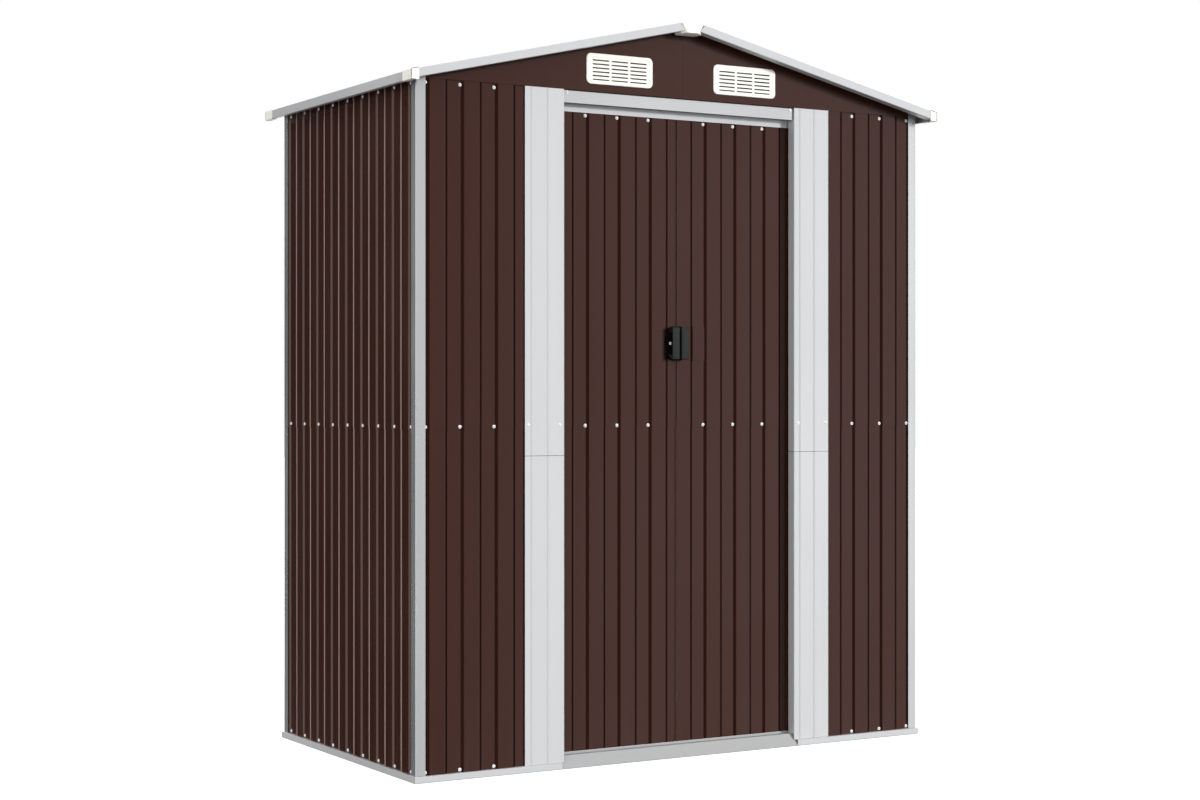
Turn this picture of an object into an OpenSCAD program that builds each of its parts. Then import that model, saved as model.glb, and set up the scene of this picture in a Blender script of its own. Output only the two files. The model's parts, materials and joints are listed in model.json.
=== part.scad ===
/* [Shed] */
// Width over the corner posts
wall_w = 1795; // [1600:5:2400]
// Depth over the corner posts
wall_d = 970; // [800:5:1600]
// Height of the walls up to the lower edge of the gables
wall_h = 2000; // [1700:5:2300]
// Slope of the roof in degrees
roof_pitch = 13; // [9:0.5:20]
// How far the eaves stand out beyond the side walls
eave_overhang = 40; // [34:1:70]
// How far the roof stands out beyond the front and back walls
rake_overhang = 55; // [48:1:90]
// Height of the gable sheet where it meets a corner post
gable_end_h = 16.5; // [13:0.5:25]

/* [Ribbed sheets] */
// Thickness of the wall, door and roof sheets
sheet_t = 0.8; // [0.6:0.1:1.2]
// Distance from one rib to the next
rib_pitch = 110; // [95:1:130]
// Height of the ribs
rib_depth = 3; // [2.5:0.5:8]
// Width of the flat on top of a rib
crest_w = 51; // [40:1:58]
// Width of the sloping side of a rib
slope_w = 8; // [6:0.5:14]
// Height of the lower edge of the upper sheets
seam_z = 1000; // [800:5:1200]
// How far the upper sheets lap over the lower ones
seam_lap = 30; // [22:1:38]

/* [Frame] */
// Thickness of the posts, rails, jambs and beams
frame_t = 1.2; // [0.9:0.1:1.6]
// Width of each side of a corner post
post_leg = 30; // [24:1:45]
// Height of the base rail's nose
base_h = 20; // [15:1:28]
// How far the base rail stands out beyond the posts
base_out = 6; // [4:0.5:10]
// Width of the base rail's foot inside the walls
base_foot = 45; // [36:1:60]
// Height of the base rail's upstand behind the sheets
base_up = 46; // [40:1:60]
// Radius of the anchor holes in the side rails' feet
anchor_r = 4.5; // [3:0.5:6]
// Distance of the anchor holes from the front and back walls
anchor_inset = 120; // [90:5:200]
// Height of the wall braces
brace_h = 40; // [30:1:60]
// Depth of the wall braces
brace_w = 19; // [12:0.5:20]
// Height of the beams at the top of the walls
beam_h = 40; // [30:1:60]
// Depth of the beams at the top of the walls
beam_w = 27; // [20:1:40]
// Height of the ridge beam and purlins
purlin_h = 30; // [20:1:40]
// Width of the ridge beam and purlins
purlin_w = 36; // [28:1:60]

/* [Doorway] */
// Clear width between the door jambs
open_w = 828; // [700:2:860]
// Width of a jamb's front face
jamb_w = 132; // [120:1:150]
// Depth of a jamb's return into the doorway
jamb_return = 31; // [24:1:40]
// Height of the joint between a jamb's lower and upper length
jamb_seam_z = 923; // [700:5:1200]
// How far the front sheets run behind the jambs
jamb_lap = 96; // [60:1:110]
// Height of the visible face of the door header
header_h = 38; // [30:1:50]
// Height of the threshold ramp
ramp_h = 38; // [32:1:48]
// Depth of the ramp's slope
ramp_run = 21; // [16:1:24]
// How far the ramp reaches behind each jamb
ramp_lap = 10; // [4:1:20]

/* [Doors] */
// How far a closed leaf runs behind its jamb
door_lap = 31; // [20:1:60]
// Gap between the two closed leaves
leaf_gap = 6; // [5:0.5:12]
// Height of a leaf's top rail
top_rail_h = 26; // [20:1:40]
// Height of a leaf's bottom rail
bottom_rail_h = 12; // [10:1:20]
// Height of the middle of the handles
handle_z = 1257; // [1060:1:1400]
// Length of a handle
handle_h = 105; // [80:1:140]
// Width of a handle's plate beside the gap
handle_w = 40; // [36:1:48]
// How far a handle stands out from its leaf
handle_reach = 27; // [18:1:30]

/* [Roof edges] */
// Thickness of the roof trims
trim_t = 1; // [0.8:0.1:1.5]
// Height of the trim along the sloping edges
rake_h = 25; // [20:1:35]
// Height of the trim along the eaves
eave_h = 27; // [20:1:36]
// Width of the trims' flange on top of the roof
trim_flange = 25; // [18:1:40]
// Half the width of the ridge cap
ridge_half = 70; // [55:1:110]
// Length of a corner cap along the eaves
cap_len = 57; // [48:1:80]
// Width of a corner cap along the sloping edges
cap_w = 25; // [22:1:40]
// Wall thickness of the plastic caps
cap_t = 1.5; // [1:0.1:2.5]

/* [Gable vents] */
// Width of a vent
vent_w = 230; // [160:1:260]
// Height of a vent
vent_h = 91; // [60:1:100]
// Distance of a vent's middle from the middle of the gable
vent_x = 225; // [150:1:260]
// Height of a vent's lower edge above the gable's lower edge
vent_up = 22; // [15:1:30]
// Thickness of a vent's face
vent_t = 3; // [2:0.5:5]
// Number of slots above each other
vent_rows = 6; // [3:1:7]
// Number of slots side by side
vent_cols = 3; // [1:1:4]

/* [Hidden] */
$fn = 48;
// Clearance between pieces that are screwed together
seat = 0.3;
// Clearance between a sliding leaf and the fixed pieces beside it
slide_gap = 5.5;
half_w = wall_w / 2;
half_d = wall_d / 2;
fall = tan(roof_pitch);
slant = cos(roof_pitch);

// Depths inside the outer plane of a wall
sheet_depth = rib_depth + sheet_t;
upper_d = frame_t + seat;
lower_d = upper_d + sheet_t + seat;
inner_d = lower_d + sheet_depth + seat;
gable_d = seat;

// Depths and heights of the leaves and of what carries them
leaf_front = jamb_return + slide_gap;
leaf_upper_d = leaf_front + frame_t + seat;
leaf_lower_d = leaf_upper_d + sheet_t + seat;
leaf_back = leaf_lower_d + sheet_depth + seat + frame_t;
leaf_mid = (leaf_front + leaf_back) / 2;
leaf_w = open_w / 2 + door_lap - leaf_gap / 2;
leaf_lift = 1.5;
leaf_rise = 4;
leaf_z = ramp_h + leaf_lift;
header_z = wall_h - header_h;
header_top = wall_h - seat;
leaf_top = header_z + leaf_rise;
hanger_t = 2.5;
glide_h = 14;
glide_w = 7;
glide_len = 34;
lip_h = 4.5;
glide_play = 1;
hang_room = 8;
lip_d = leaf_back + seat + hanger_t + slide_gap;
glide_d = lip_d + frame_t + glide_play;
header_back = glide_d + glide_w + glide_play + frame_t;
ledge_z = leaf_top + hang_room;
track_out = 3.5;
track_drop = 14.5;
track_foot = 12;
fin_drop = 5;
fin_gap = 1.5;
track_d = leaf_front - track_out;
track_h = leaf_z - track_drop;
fin_top = leaf_z - fin_drop;
shoe_len = 40;
hanger_inset = 70;
hanger_drop = 22;

// Lengths along the walls
corner_inset = inner_d + seat;
front_run = half_w - corner_inset - (open_w / 2 + jamb_w - jamb_lap);
ramp_half = open_w / 2 + ramp_lap;
roof_room = 1.5;
post_top = wall_h + gable_end_h - roof_room;
side_top = post_top - 2 * roof_room;
gable_half = half_w - post_leg - seat;

// Roof planes: heights at the ridge, and the eave edge
apex_under = wall_h + gable_end_h + half_w * fall;
apex_top = apex_under + sheet_depth / slant;
eave_x = half_w + eave_overhang;
rake_y = half_d + rake_overhang;
trim_lift = (seat + trim_t) / slant;
eave_z = apex_top + trim_lift - eave_x * fall;

// Places of the first rib on each sheet, from its left end seen from outside
front_left_rib = 36;
front_right_rib = 93.5;
side_rib = 83;
back_rib = 30;
left_leaf_rib = 26.5;
right_leaf_rib = 107.5;
roof_rib = 30;

brown = [0.28, 0.19, 0.17];
silver = [0.83, 0.84, 0.85];
cream = [0.93, 0.92, 0.88];
black = [0.12, 0.12, 0.12];
zinc = [0.76, 0.77, 0.78];

// Underside of the roof sheets at a distance x from the ridge
function roof_under(x) = apex_under - x * fall;

// Unit normal on the right of the way from a to b
function right_of(a, b) = let (u = (b - a) / norm(b - a)) [u[1], -u[0]];

// Outline of a folded strip: the path is one face, and the thickness lies on its right
function strip(path, t) = let (last = len(path) - 1) concat(path, [for (i = [last:-1:0]) let (
    before = max(i - 1, 0),
    after = min(i, last - 1),
    n1 = right_of(path[before], path[before + 1]),
    n2 = right_of(path[after], path[after + 1])) path[i] + t * (n1 + n2) / (1 + n1 * n2)]);

// Depth of the ribbed sheet at a distance u from its end: 0 on a crest
function rib_at(u, first) = let (v = u - first - rib_pitch * floor((u - first) / rib_pitch))
    v <= crest_w ? 0
    : v <= crest_w + slope_w ? rib_depth * (v - crest_w) / slope_w
    : v <= rib_pitch - slope_w ? rib_depth
    : rib_depth * (rib_pitch - v) / slope_w;

// Distances along the sheet at which it folds, with its two ends
function rib_folds(w, first) = concat([0], [for (k = [-2:ceil(w / rib_pitch)])
    for (fold = [0, crest_w, crest_w + slope_w, rib_pitch - slope_w])
    let (u = first + k * rib_pitch + fold) if (u > 0.05 && u < w - 0.05) u], [w]);

function rib_outline(w, first) = let (folds = rib_folds(w, first), last = len(folds) - 1) concat(
    [for (u = folds) [u, rib_at(u, first)]],
    [for (i = [last:-1:0]) [folds[i], rib_at(folds[i], first) + sheet_t]]);

// A sheet that stands up, with its length along X and its ribs proud towards -Y
module ribbed_sheet(w, h, first) {
    linear_extrude(h) polygon(rib_outline(w, first));
}

// A folded strip of length w along X: the path runs in depth and height
module folded_rail(path, w, t = frame_t) {
    rotate([90, 0, 90]) linear_extrude(w) polygon(strip(path, t));
}

// A folded strip of length w along +Y from the front: the path runs in X and Z
module folded_beam(path, w, t) {
    rotate([90, 0, 0]) linear_extrude(w) polygon(strip(path, t));
}

// Places its children with X towards the front, Y down through the roof and Z down the right slope
module on_right_slope() {
    translate([0, 0, apex_top]) rotate([0, roof_pitch, 0]) rotate([-90, 0, 0]) rotate([0, 90, 0]) children();
}

module both_sides() {
    children();
    mirror([1, 0, 0]) children();
}

module front_and_back() {
    children();
    mirror([0, 1, 0]) children();
}

// Base rails: foot, nose, ledge for the sheets and upstand, mitred at the corners
function base_path(foot) = [[foot, 0], [-base_out, 0], [-base_out, base_h], [inner_d, base_h],
    [inner_d, base_up]];

// Plan of a rail between its mitred ends, in length and depth
function mitre_plan(half, foot) = let (out = base_out + 1, far = foot + 1) [
    [-half - out + seat / 2, -out], [half + out - seat / 2, -out],
    [half - far - seat / 2, far], [-half + far + seat / 2, far]];

module base_run(half, foot) {
    intersection() {
        translate([-half - base_out, 0, 0]) folded_rail(base_path(foot), 2 * (half + base_out));
        translate([0, 0, -1]) linear_extrude(base_up + 2) polygon(mitre_plan(half, foot));
    }
}

module base_rail_front() {
    color(silver) difference() {
        translate([0, -half_d, 0]) base_run(half_w, track_d - frame_t);
        translate([-ramp_half - seat, -half_d - base_out - 1, -1])
            cube([2 * (ramp_half + seat), track_d + base_out + 1, base_up + 2]);
    }
}

module base_rail_back() {
    color(silver) translate([0, half_d, 0]) rotate([0, 0, 180]) base_run(half_w, base_foot);
}

module base_rail_left() {
    color(silver) difference() {
        translate([-half_w, 0, 0]) rotate([0, 0, -90]) base_run(half_d, base_foot);
        for (y = [-1, 1])
            translate([-half_w + (inner_d + base_foot) / 2, y * (half_d - anchor_inset), -1])
                cylinder(r = anchor_r, h = frame_t + 2);
    }
}

module base_rail_right() {
    mirror([1, 0, 0]) base_rail_left();
}

// Threshold ramp: foot, slope, flat top and rear leg
toe_out = 1;
ramp_leg_z = 8;

module door_ramp() {
    toe = -base_out - toe_out;
    heel = track_d - 2 * frame_t;
    color(zinc) translate([-ramp_half, -half_d, 0]) folded_rail([[heel - 2 * frame_t, 0], [toe, 0],
        [toe + ramp_run, ramp_h], [heel, ramp_h], [heel, ramp_leg_z]], 2 * ramp_half);
}

// Guide under the leaves: foot, riser, ledge and fin
module door_sill_track() {
    reach = half_w - base_foot - seat;
    fin_d = leaf_mid - frame_t / 2;
    color(zinc) translate([-reach, -half_d, 0]) folded_rail([[leaf_back + track_foot, 0], [track_d, 0],
        [track_d, track_h], [fin_d, track_h], [fin_d, fin_top]], 2 * reach);
}

module corner_post() {
    color(silver) translate([-half_w, -half_d, base_h + seat]) linear_extrude(post_top - base_h - seat)
        polygon(strip([[0, post_leg], [0, 0], [post_leg, 0]], -frame_t));
}

module corner_post_front_left() {
    corner_post();
}

module corner_post_front_right() {
    mirror([1, 0, 0]) corner_post();
}

module corner_post_back_left() {
    mirror([0, 1, 0]) corner_post();
}

module corner_post_back_right() {
    rotate([0, 0, 180]) corner_post();
}

// Wall sheets: the lower length stands on the rail's ledge, and the upper one laps over it
lower_z = base_h + seat;
lower_h = seam_z + seam_lap - lower_z;
side_run = wall_d - 2 * upper_d;

module side_sheet(z, h, d) {
    color(brown) translate([-half_w + d, half_d - upper_d, z]) rotate([0, 0, -90])
        ribbed_sheet(side_run, h, side_rib);
}

module left_wall_lower() {
    side_sheet(lower_z, lower_h, lower_d);
}

module left_wall_upper() {
    side_sheet(seam_z, side_top - seam_z, upper_d);
}

module right_wall_lower() {
    mirror([1, 0, 0]) left_wall_lower();
}

module right_wall_upper() {
    mirror([1, 0, 0]) left_wall_upper();
}

module back_sheet(z, h, d) {
    color(brown) translate([half_w - corner_inset, half_d - d, z]) rotate([0, 0, 180])
        ribbed_sheet(2 * (half_w - corner_inset), h, back_rib);
}

module back_wall_lower() {
    back_sheet(lower_z, lower_h, lower_d);
}

module back_wall_upper() {
    back_sheet(seam_z, wall_h - seat - seam_z, upper_d);
}

module front_sheet(x, first, z, h, d) {
    color(brown) translate([x, -half_d + d, z]) ribbed_sheet(front_run, h, first);
}

module front_left_lower() {
    front_sheet(-half_w + corner_inset, front_left_rib, lower_z, lower_h, lower_d);
}

module front_left_upper() {
    front_sheet(-half_w + corner_inset, front_left_rib, seam_z, wall_h - seat - seam_z, upper_d);
}

module front_right_lower() {
    front_sheet(half_w - corner_inset - front_run, front_right_rib, lower_z, lower_h, lower_d);
}

module front_right_upper() {
    front_sheet(half_w - corner_inset - front_run, front_right_rib, seam_z, wall_h - seat - seam_z, upper_d);
}

// Door jambs: a flat face with two raised beads, and a return into the doorway
bead_w = 9;
bead_h = 1;
bead_at = [22, 77];

function jamb_face(x) = concat([[x, 0]], [for (b = bead_at) each [[x + b - bead_w / 2, 0],
    [x + b, -bead_h], [x + b + bead_w / 2, 0]]], [[x + jamb_w, 0]]);

module jamb_length(path, z0, z1) {
    difference() {
        translate([0, -half_d, z0]) linear_extrude(z1 - z0) polygon(strip(path, -frame_t));
        translate([-half_w, -half_d + frame_t, -1]) cube([wall_w, half_d, ramp_h + seat + 1]);
        translate([-half_w, -half_d + frame_t, header_z - seat]) cube([wall_w, half_d, header_h + 1]);
    }
}

module jamb(path) {
    color(silver) jamb_length(path, base_h + seat, jamb_seam_z - seat);
    color(silver) jamb_length(path, jamb_seam_z, wall_h - seat);
}

module left_jamb() {
    jamb(concat(jamb_face(-open_w / 2 - jamb_w), [[-open_w / 2, jamb_return]]));
}

module right_jamb() {
    jamb(concat([[open_w / 2, jamb_return]], jamb_face(open_w / 2)));
}

// Door header: front face, top, rear web and the lipped ledge that the leaves hang on
module door_header() {
    reach = half_w - inner_d;
    color(silver) translate([-reach, -half_d, 0]) folded_rail([[inner_d, header_z], [inner_d, header_top],
        [header_back, header_top], [header_back, ledge_z], [lip_d, ledge_z],
        [lip_d, ledge_z + lip_h]], 2 * reach);
}

// Beams at the top of the side and back walls: the side ones carry the roof sheets
module eave_beam() {
    x0 = half_w - inner_d - beam_w;
    x1 = half_w - inner_d;
    run = wall_d - header_back - inner_d - beam_w - 2 * seat;
    z1 = roof_under(x1) - seat / slant;
    translate([0, half_d - inner_d - beam_w - seat, 0]) folded_beam([[x0, z1 + beam_w * fall - beam_h / 3],
        [x0, z1 + beam_w * fall], [x1, z1], [x1, wall_h - beam_h], [x0, wall_h - beam_h]], run, frame_t);
}

module top_beams() {
    reach = half_w - inner_d;
    color(silver) both_sides() eave_beam();
    color(silver) translate([reach, half_d, 0]) rotate([0, 0, 180]) folded_rail([
        [inner_d + beam_w, wall_h - beam_h], [inner_d, wall_h - beam_h], [inner_d, header_top],
        [inner_d + beam_w, header_top]], 2 * reach);
}

// Braces behind the lap of the lower and upper sheets
module brace(w) {
    z0 = seam_z + seam_lap / 2 - brace_h / 2;
    folded_rail([[inner_d + brace_w, z0], [inner_d, z0], [inner_d, z0 + brace_h],
        [inner_d + brace_w, z0 + brace_h]], w);
}

module wall_braces() {
    side_reach = half_d - inner_d - brace_w - seat;
    back_reach = half_w - inner_d;
    color(silver) both_sides() {
        translate([-half_w, side_reach, 0]) rotate([0, 0, -90]) brace(2 * side_reach);
        translate([-half_w + inner_d, -half_d, 0]) brace(front_run);
    }
    color(silver) translate([back_reach, half_d, 0]) rotate([0, 0, 180]) brace(2 * back_reach);
}

// Gable sheets: a flat face with a foot flange, cut out behind the vent
gable_flange = 22;

module gable_half_sheet() {
    color(brown) translate([0, -half_d + gable_d, 0]) difference() {
        union() {
            translate([0, sheet_t, 0]) rotate([90, 0, 0]) linear_extrude(sheet_t)
                polygon([[seat, wall_h], [gable_half, wall_h], [gable_half, roof_under(gable_half) - seat],
                    [seat, roof_under(seat) - seat]]);
            translate([seat, 0, wall_h]) cube([gable_half - seat, gable_flange, sheet_t]);
        }
        translate([vent_x - vent_w / 2 + vent_rim, -1, wall_h + vent_up + vent_rim])
            cube([vent_w - 2 * vent_rim, sheet_t + 2, vent_h - 2 * vent_rim]);
    }
}

module front_gable_right() {
    gable_half_sheet();
}

module front_gable_left() {
    mirror([1, 0, 0]) gable_half_sheet();
}

module back_gable_right() {
    mirror([0, 1, 0]) gable_half_sheet();
}

module back_gable_left() {
    rotate([0, 0, 180]) gable_half_sheet();
}

// Gable vents: a rounded plate with rows of slanting slots
vent_rim = 10;
vent_round = 9;
slot_side = 21;
slot_foot = 13.5;
slot_head = 20;
slot_gap = 7.5;
slot_share = 0.3;
slot_tilt = 25;

module rounded_plate(w, h, r, t) {
    for (x = [r, w - r])
        for (z = [r, h - r])
            translate([x, t, z]) rotate([90, 0, 0]) cylinder(r = r, h = t);
    translate([r, 0, 0]) cube([w - 2 * r, t, h]);
    translate([0, 0, r]) cube([w, t, h - 2 * r]);
}

module vent() {
    row = (vent_h - slot_foot - slot_head) / (vent_rows - 1);
    slot_w = (vent_w - 2 * slot_side - (vent_cols - 1) * slot_gap) / vent_cols;
    slot_h = row * slot_share;
    difference() {
        rounded_plate(vent_w, vent_h, vent_round, vent_t);
        for (i = [0:vent_cols - 1])
            for (j = [0:vent_rows - 1])
                translate([slot_side + i * (slot_w + slot_gap), vent_t / 2, slot_foot + j * row])
                    rotate([slot_tilt, 0, 0]) translate([0, -2 * vent_t, -slot_h / 2])
                        cube([slot_w, 4 * vent_t, slot_h]);
    }
}

module gable_vents() {
    color(cream) front_and_back() both_sides()
        translate([vent_x - vent_w / 2, -half_d + gable_d - seat - vent_t, wall_h + vent_up]) vent();
}

// Ridge beam and purlins under the roof sheets, from gable to gable
purlin_run = wall_d - 2 * (gable_d + sheet_t + seat);

module ridge_beam() {
    x = purlin_w / 2;
    z = roof_under(x) - seat / slant;
    color(silver) translate([0, purlin_run / 2, 0]) folded_beam([[-x, z - purlin_h], [-x, z],
        [0, apex_under - seat / slant], [x, z], [x, z - purlin_h]], purlin_run, frame_t);
}

module roof_purlins() {
    x0 = half_w / 2 - purlin_w / 2;
    x1 = half_w / 2 + purlin_w / 2;
    z0 = roof_under(x0) - seat / slant;
    z1 = roof_under(x1) - seat / slant;
    color(silver) both_sides() translate([0, purlin_run / 2, 0]) folded_beam([[x0, z0], [x1, z1],
        [x1, z1 - purlin_h], [x0, z1 - purlin_h]], purlin_run, frame_t);
}

// Roof sheets: the ribs run down the slope
module roof_sheet_right() {
    ridge_gap = 4;
    reach = rake_y - trim_t - seat;
    run = (eave_x - trim_t - seat) / slant - ridge_gap;
    color(brown) on_right_slope() translate([-reach, 0, ridge_gap]) linear_extrude(run)
        polygon(rib_outline(2 * reach, roof_rib));
}

module roof_sheet_left() {
    mirror([1, 0, 0]) roof_sheet_right();
}

module ridge_cap() {
    reach = rake_y - trim_flange - trim_t;
    z = apex_top + trim_lift;
    color(brown) translate([0, reach, 0]) folded_beam([[-ridge_half, z - ridge_half * fall], [0, z],
        [ridge_half, z - ridge_half * fall]], 2 * reach, trim_t);
}

// Trims along the sloping edges: return, face and top flange
rake_start = 28;
rake_return = 12;
eave_return = 14;
cap_cover = 30;
rake_cover = 10;
rake_end = (eave_x - rake_cover) / slant;

module rake_trims() {
    top = -seat - trim_t;
    color(silver) both_sides() front_and_back() on_right_slope() translate([rake_y, 0, rake_start])
        linear_extrude(rake_end - rake_start) polygon(strip([[-rake_return, top + rake_h], [0, top + rake_h],
            [0, top], [-trim_flange, top]], trim_t));
}

// Trims along the eaves: top flange, face and return
module eave_trims() {
    reach = rake_y - cap_cover;
    bottom = eave_z - eave_h;
    color(silver) both_sides() translate([0, reach, 0]) folded_beam([
        [eave_x - trim_flange, eave_z + trim_flange * fall], [eave_x, eave_z], [eave_x, bottom],
        [eave_x - eave_return, bottom]], 2 * reach, trim_t);
}

// Corner caps: a sleeve over the end of the eave trim, closed by a plate over the end of the sloping trim
cap_lift = (seat + cap_t) / slant;
cap_return = 16;

module roof_corner_cap() {
    x = eave_x + seat + cap_t;
    z = eave_z + cap_lift - (seat + cap_t) * fall;
    bottom = eave_z - eave_h - seat - cap_t;
    y = -rake_y - seat - cap_t;
    translate([0, y + cap_len, 0]) folded_beam([[x - cap_w, z + cap_w * fall], [x, z], [x, bottom],
        [x - cap_return, bottom]], cap_len, cap_t);
    translate([0, y + cap_t, 0]) rotate([90, 0, 0]) linear_extrude(cap_t) polygon([
        [x - cap_w, z + cap_w * fall], [x, z], [x, bottom], [x - cap_return, bottom],
        [x - cap_w, bottom + (cap_w - cap_return) * fall]]);
}

module roof_corner_caps() {
    color(cream) both_sides() front_and_back() roof_corner_cap();
}

// Ridge end caps: a saddle over the ends of the ridge cap and sloping trims, with a tapered front
cap_half = 44;
saddle_len = 46;
cap_foot = 30;
cap_drop = 34;

module ridge_end_cap() {
    z = apex_top + trim_lift + cap_lift;
    edge = z - cap_half * fall;
    y = -rake_y - seat - cap_t;
    translate([0, y + saddle_len, 0])
        folded_beam([[-cap_half, edge], [0, z], [cap_half, edge]], saddle_len, cap_t);
    translate([0, y + cap_t, 0]) rotate([90, 0, 0]) linear_extrude(cap_t)
        polygon([[-cap_half, edge], [0, z], [cap_half, edge], [cap_foot, edge - cap_drop],
            [-cap_foot, edge - cap_drop]]);
}

module ridge_end_caps() {
    color(cream) front_and_back() ridge_end_cap();
}

// Door leaves: lapped ribbed sheets between a top and a bottom rail
module leaf_sheets(x, first) {
    z0 = leaf_z + frame_t + seat;
    z1 = leaf_top - frame_t - seat;
    color(brown) translate([x, -half_d + leaf_lower_d, z0])
        ribbed_sheet(leaf_w, seam_z + seam_lap - z0, first);
    color(brown) translate([x, -half_d + leaf_upper_d, seam_z]) ribbed_sheet(leaf_w, z1 - seam_z, first);
}

module leaf_rails(x) {
    low = leaf_top - top_rail_h;
    high = leaf_z + bottom_rail_h;
    color(silver) translate([x, -half_d, 0]) folded_rail([[leaf_front, low], [leaf_front, leaf_top],
        [leaf_back, leaf_top], [leaf_back, low]], leaf_w);
    color(silver) translate([x, -half_d, 0]) folded_rail([[leaf_back, high], [leaf_back, leaf_z],
        [leaf_front, leaf_z], [leaf_front, high]], leaf_w);
}

// Hangers with glides on the header's ledge, and shoes on both sides of the sill's fin
module leaf_runners(x) {
    glide_z = ledge_z + frame_t + seat;
    hanger_d = leaf_back + seat;
    shoe_h = leaf_z - seat - (track_h + slide_gap);
    for (at = [hanger_inset, leaf_w - hanger_inset]) {
        color(zinc) translate([x + at - glide_len / 2, -half_d + hanger_d, leaf_top - hanger_drop])
            cube([glide_len, hanger_t, glide_z + glide_h - leaf_top + hanger_drop]);
        color(zinc) translate([x + at - glide_len / 2, -half_d + hanger_d, glide_z + lip_h])
            cube([glide_len, glide_d - hanger_d + glide_w, glide_h - lip_h]);
        color(zinc) translate([x + at - glide_len / 2, -half_d + glide_d, glide_z])
            cube([glide_len, glide_w, glide_h]);
        color(black) translate([x + at - shoe_len / 2, -half_d + leaf_front, leaf_z - seat - shoe_h])
            cube([shoe_len, leaf_mid - frame_t / 2 - fin_gap - leaf_front, shoe_h]);
        color(black) translate([x + at - shoe_len / 2, -half_d + leaf_mid + frame_t / 2 + fin_gap,
            leaf_z - seat - shoe_h]) cube([shoe_len, leaf_back - leaf_mid - frame_t / 2 - fin_gap, shoe_h]);
    }
}

left_leaf_x = -leaf_gap / 2 - leaf_w;
right_leaf_x = leaf_gap / 2;

module left_door_sheets() {
    leaf_sheets(left_leaf_x, left_leaf_rib);
}

module right_door_sheets() {
    leaf_sheets(right_leaf_x, right_leaf_rib);
}

module left_door_rails() {
    leaf_rails(left_leaf_x);
}

module right_door_rails() {
    leaf_rails(right_leaf_x);
}

module left_door_runners() {
    leaf_runners(left_leaf_x);
}

module right_door_runners() {
    leaf_runners(right_leaf_x);
}

// Handles beside the gap between the leaves: a plate with cut corners, and a hollow pull that is open away
// from the gap
plate_t = 3;
plate_cut = 17;
pull_w = 25;
pull_wall = 3;
pull_foot = 70;
handle_d = leaf_upper_d - seat;
handle_x = leaf_gap / 2 + 1;
boss_r = 5;

// A plate between two distances from the gap's middle, with its outer corners cut
module handle_plate(x0, x1, cut) {
    translate([0, -half_d + handle_d, handle_z]) rotate([90, 0, 0]) linear_extrude(plate_t)
        polygon([[x0, -handle_h / 2], [x1 - cut, -handle_h / 2], [x1, -handle_h / 2 + cut],
            [x1, handle_h / 2 - cut], [x1 - cut, handle_h / 2], [x0, handle_h / 2]]);
}

// The pull's side view, less a wall thickness: short on the plate and long at its front
module pull_block(x, wall) {
    out = [plate_t / 2, handle_reach - wall];
    foot = pull_foot / 2 - wall;
    head = handle_h / 2 - wall;
    translate([x, -half_d + handle_d, handle_z]) rotate([90, 0, 90]) linear_extrude(pull_w)
        polygon([[-out[0], -foot], [-out[1], -head], [-out[1], head], [-out[0], foot]]);
}

module handle() {
    handle_plate(handle_x, handle_x + handle_w, plate_cut);
    difference() {
        pull_block(handle_x, 0);
        pull_block(handle_x + pull_wall, pull_wall);
    }
}

// The left handle stands over a valley of its leaf, on two bosses
module left_door_handle() {
    color(black) mirror([1, 0, 0]) {
        handle();
        for (z = [-1, 1])
            translate([handle_x + pull_w / 2, -half_d + handle_d - plate_t / 2, handle_z + z * handle_h / 4])
                rotate([-90, 0, 0]) cylinder(r = boss_r, h = plate_t / 2 + rib_depth);
    }
}

module right_door_handle() {
    color(black) handle();
}

// A folded plate that fills the valley beside the right handle
module right_door_plate() {
    x0 = right_leaf_x + right_leaf_rib - rib_pitch + crest_w + slope_w + seat;
    x1 = right_leaf_x + right_leaf_rib - slope_w - seat;
    front = leaf_upper_d + seat;
    back = leaf_upper_d + rib_depth - seat;
    color(brown) translate([0, -half_d, handle_z - handle_h / 2]) linear_extrude(handle_h)
        polygon(strip([[x0, back], [x0, front], [x1, front], [x1, back]], -frame_t));
}

base_rail_front();
base_rail_left();
base_rail_right();
base_rail_back();
door_ramp();
door_sill_track();
corner_post_front_left();
corner_post_front_right();
corner_post_back_left();
corner_post_back_right();
left_wall_lower();
left_wall_upper();
right_wall_lower();
right_wall_upper();
back_wall_lower();
back_wall_upper();
front_left_lower();
front_left_upper();
front_right_lower();
front_right_upper();
left_jamb();
right_jamb();
door_header();
top_beams();
wall_braces();
front_gable_left();
front_gable_right();
back_gable_left();
back_gable_right();
gable_vents();
ridge_beam();
roof_purlins();
roof_sheet_left();
roof_sheet_right();
ridge_cap();
rake_trims();
eave_trims();
roof_corner_caps();
ridge_end_caps();
left_door_sheets();
left_door_rails();
left_door_handle();
left_door_runners();
right_door_sheets();
right_door_rails();
right_door_handle();
right_door_plate();
right_door_runners();
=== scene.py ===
import json
import math

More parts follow.
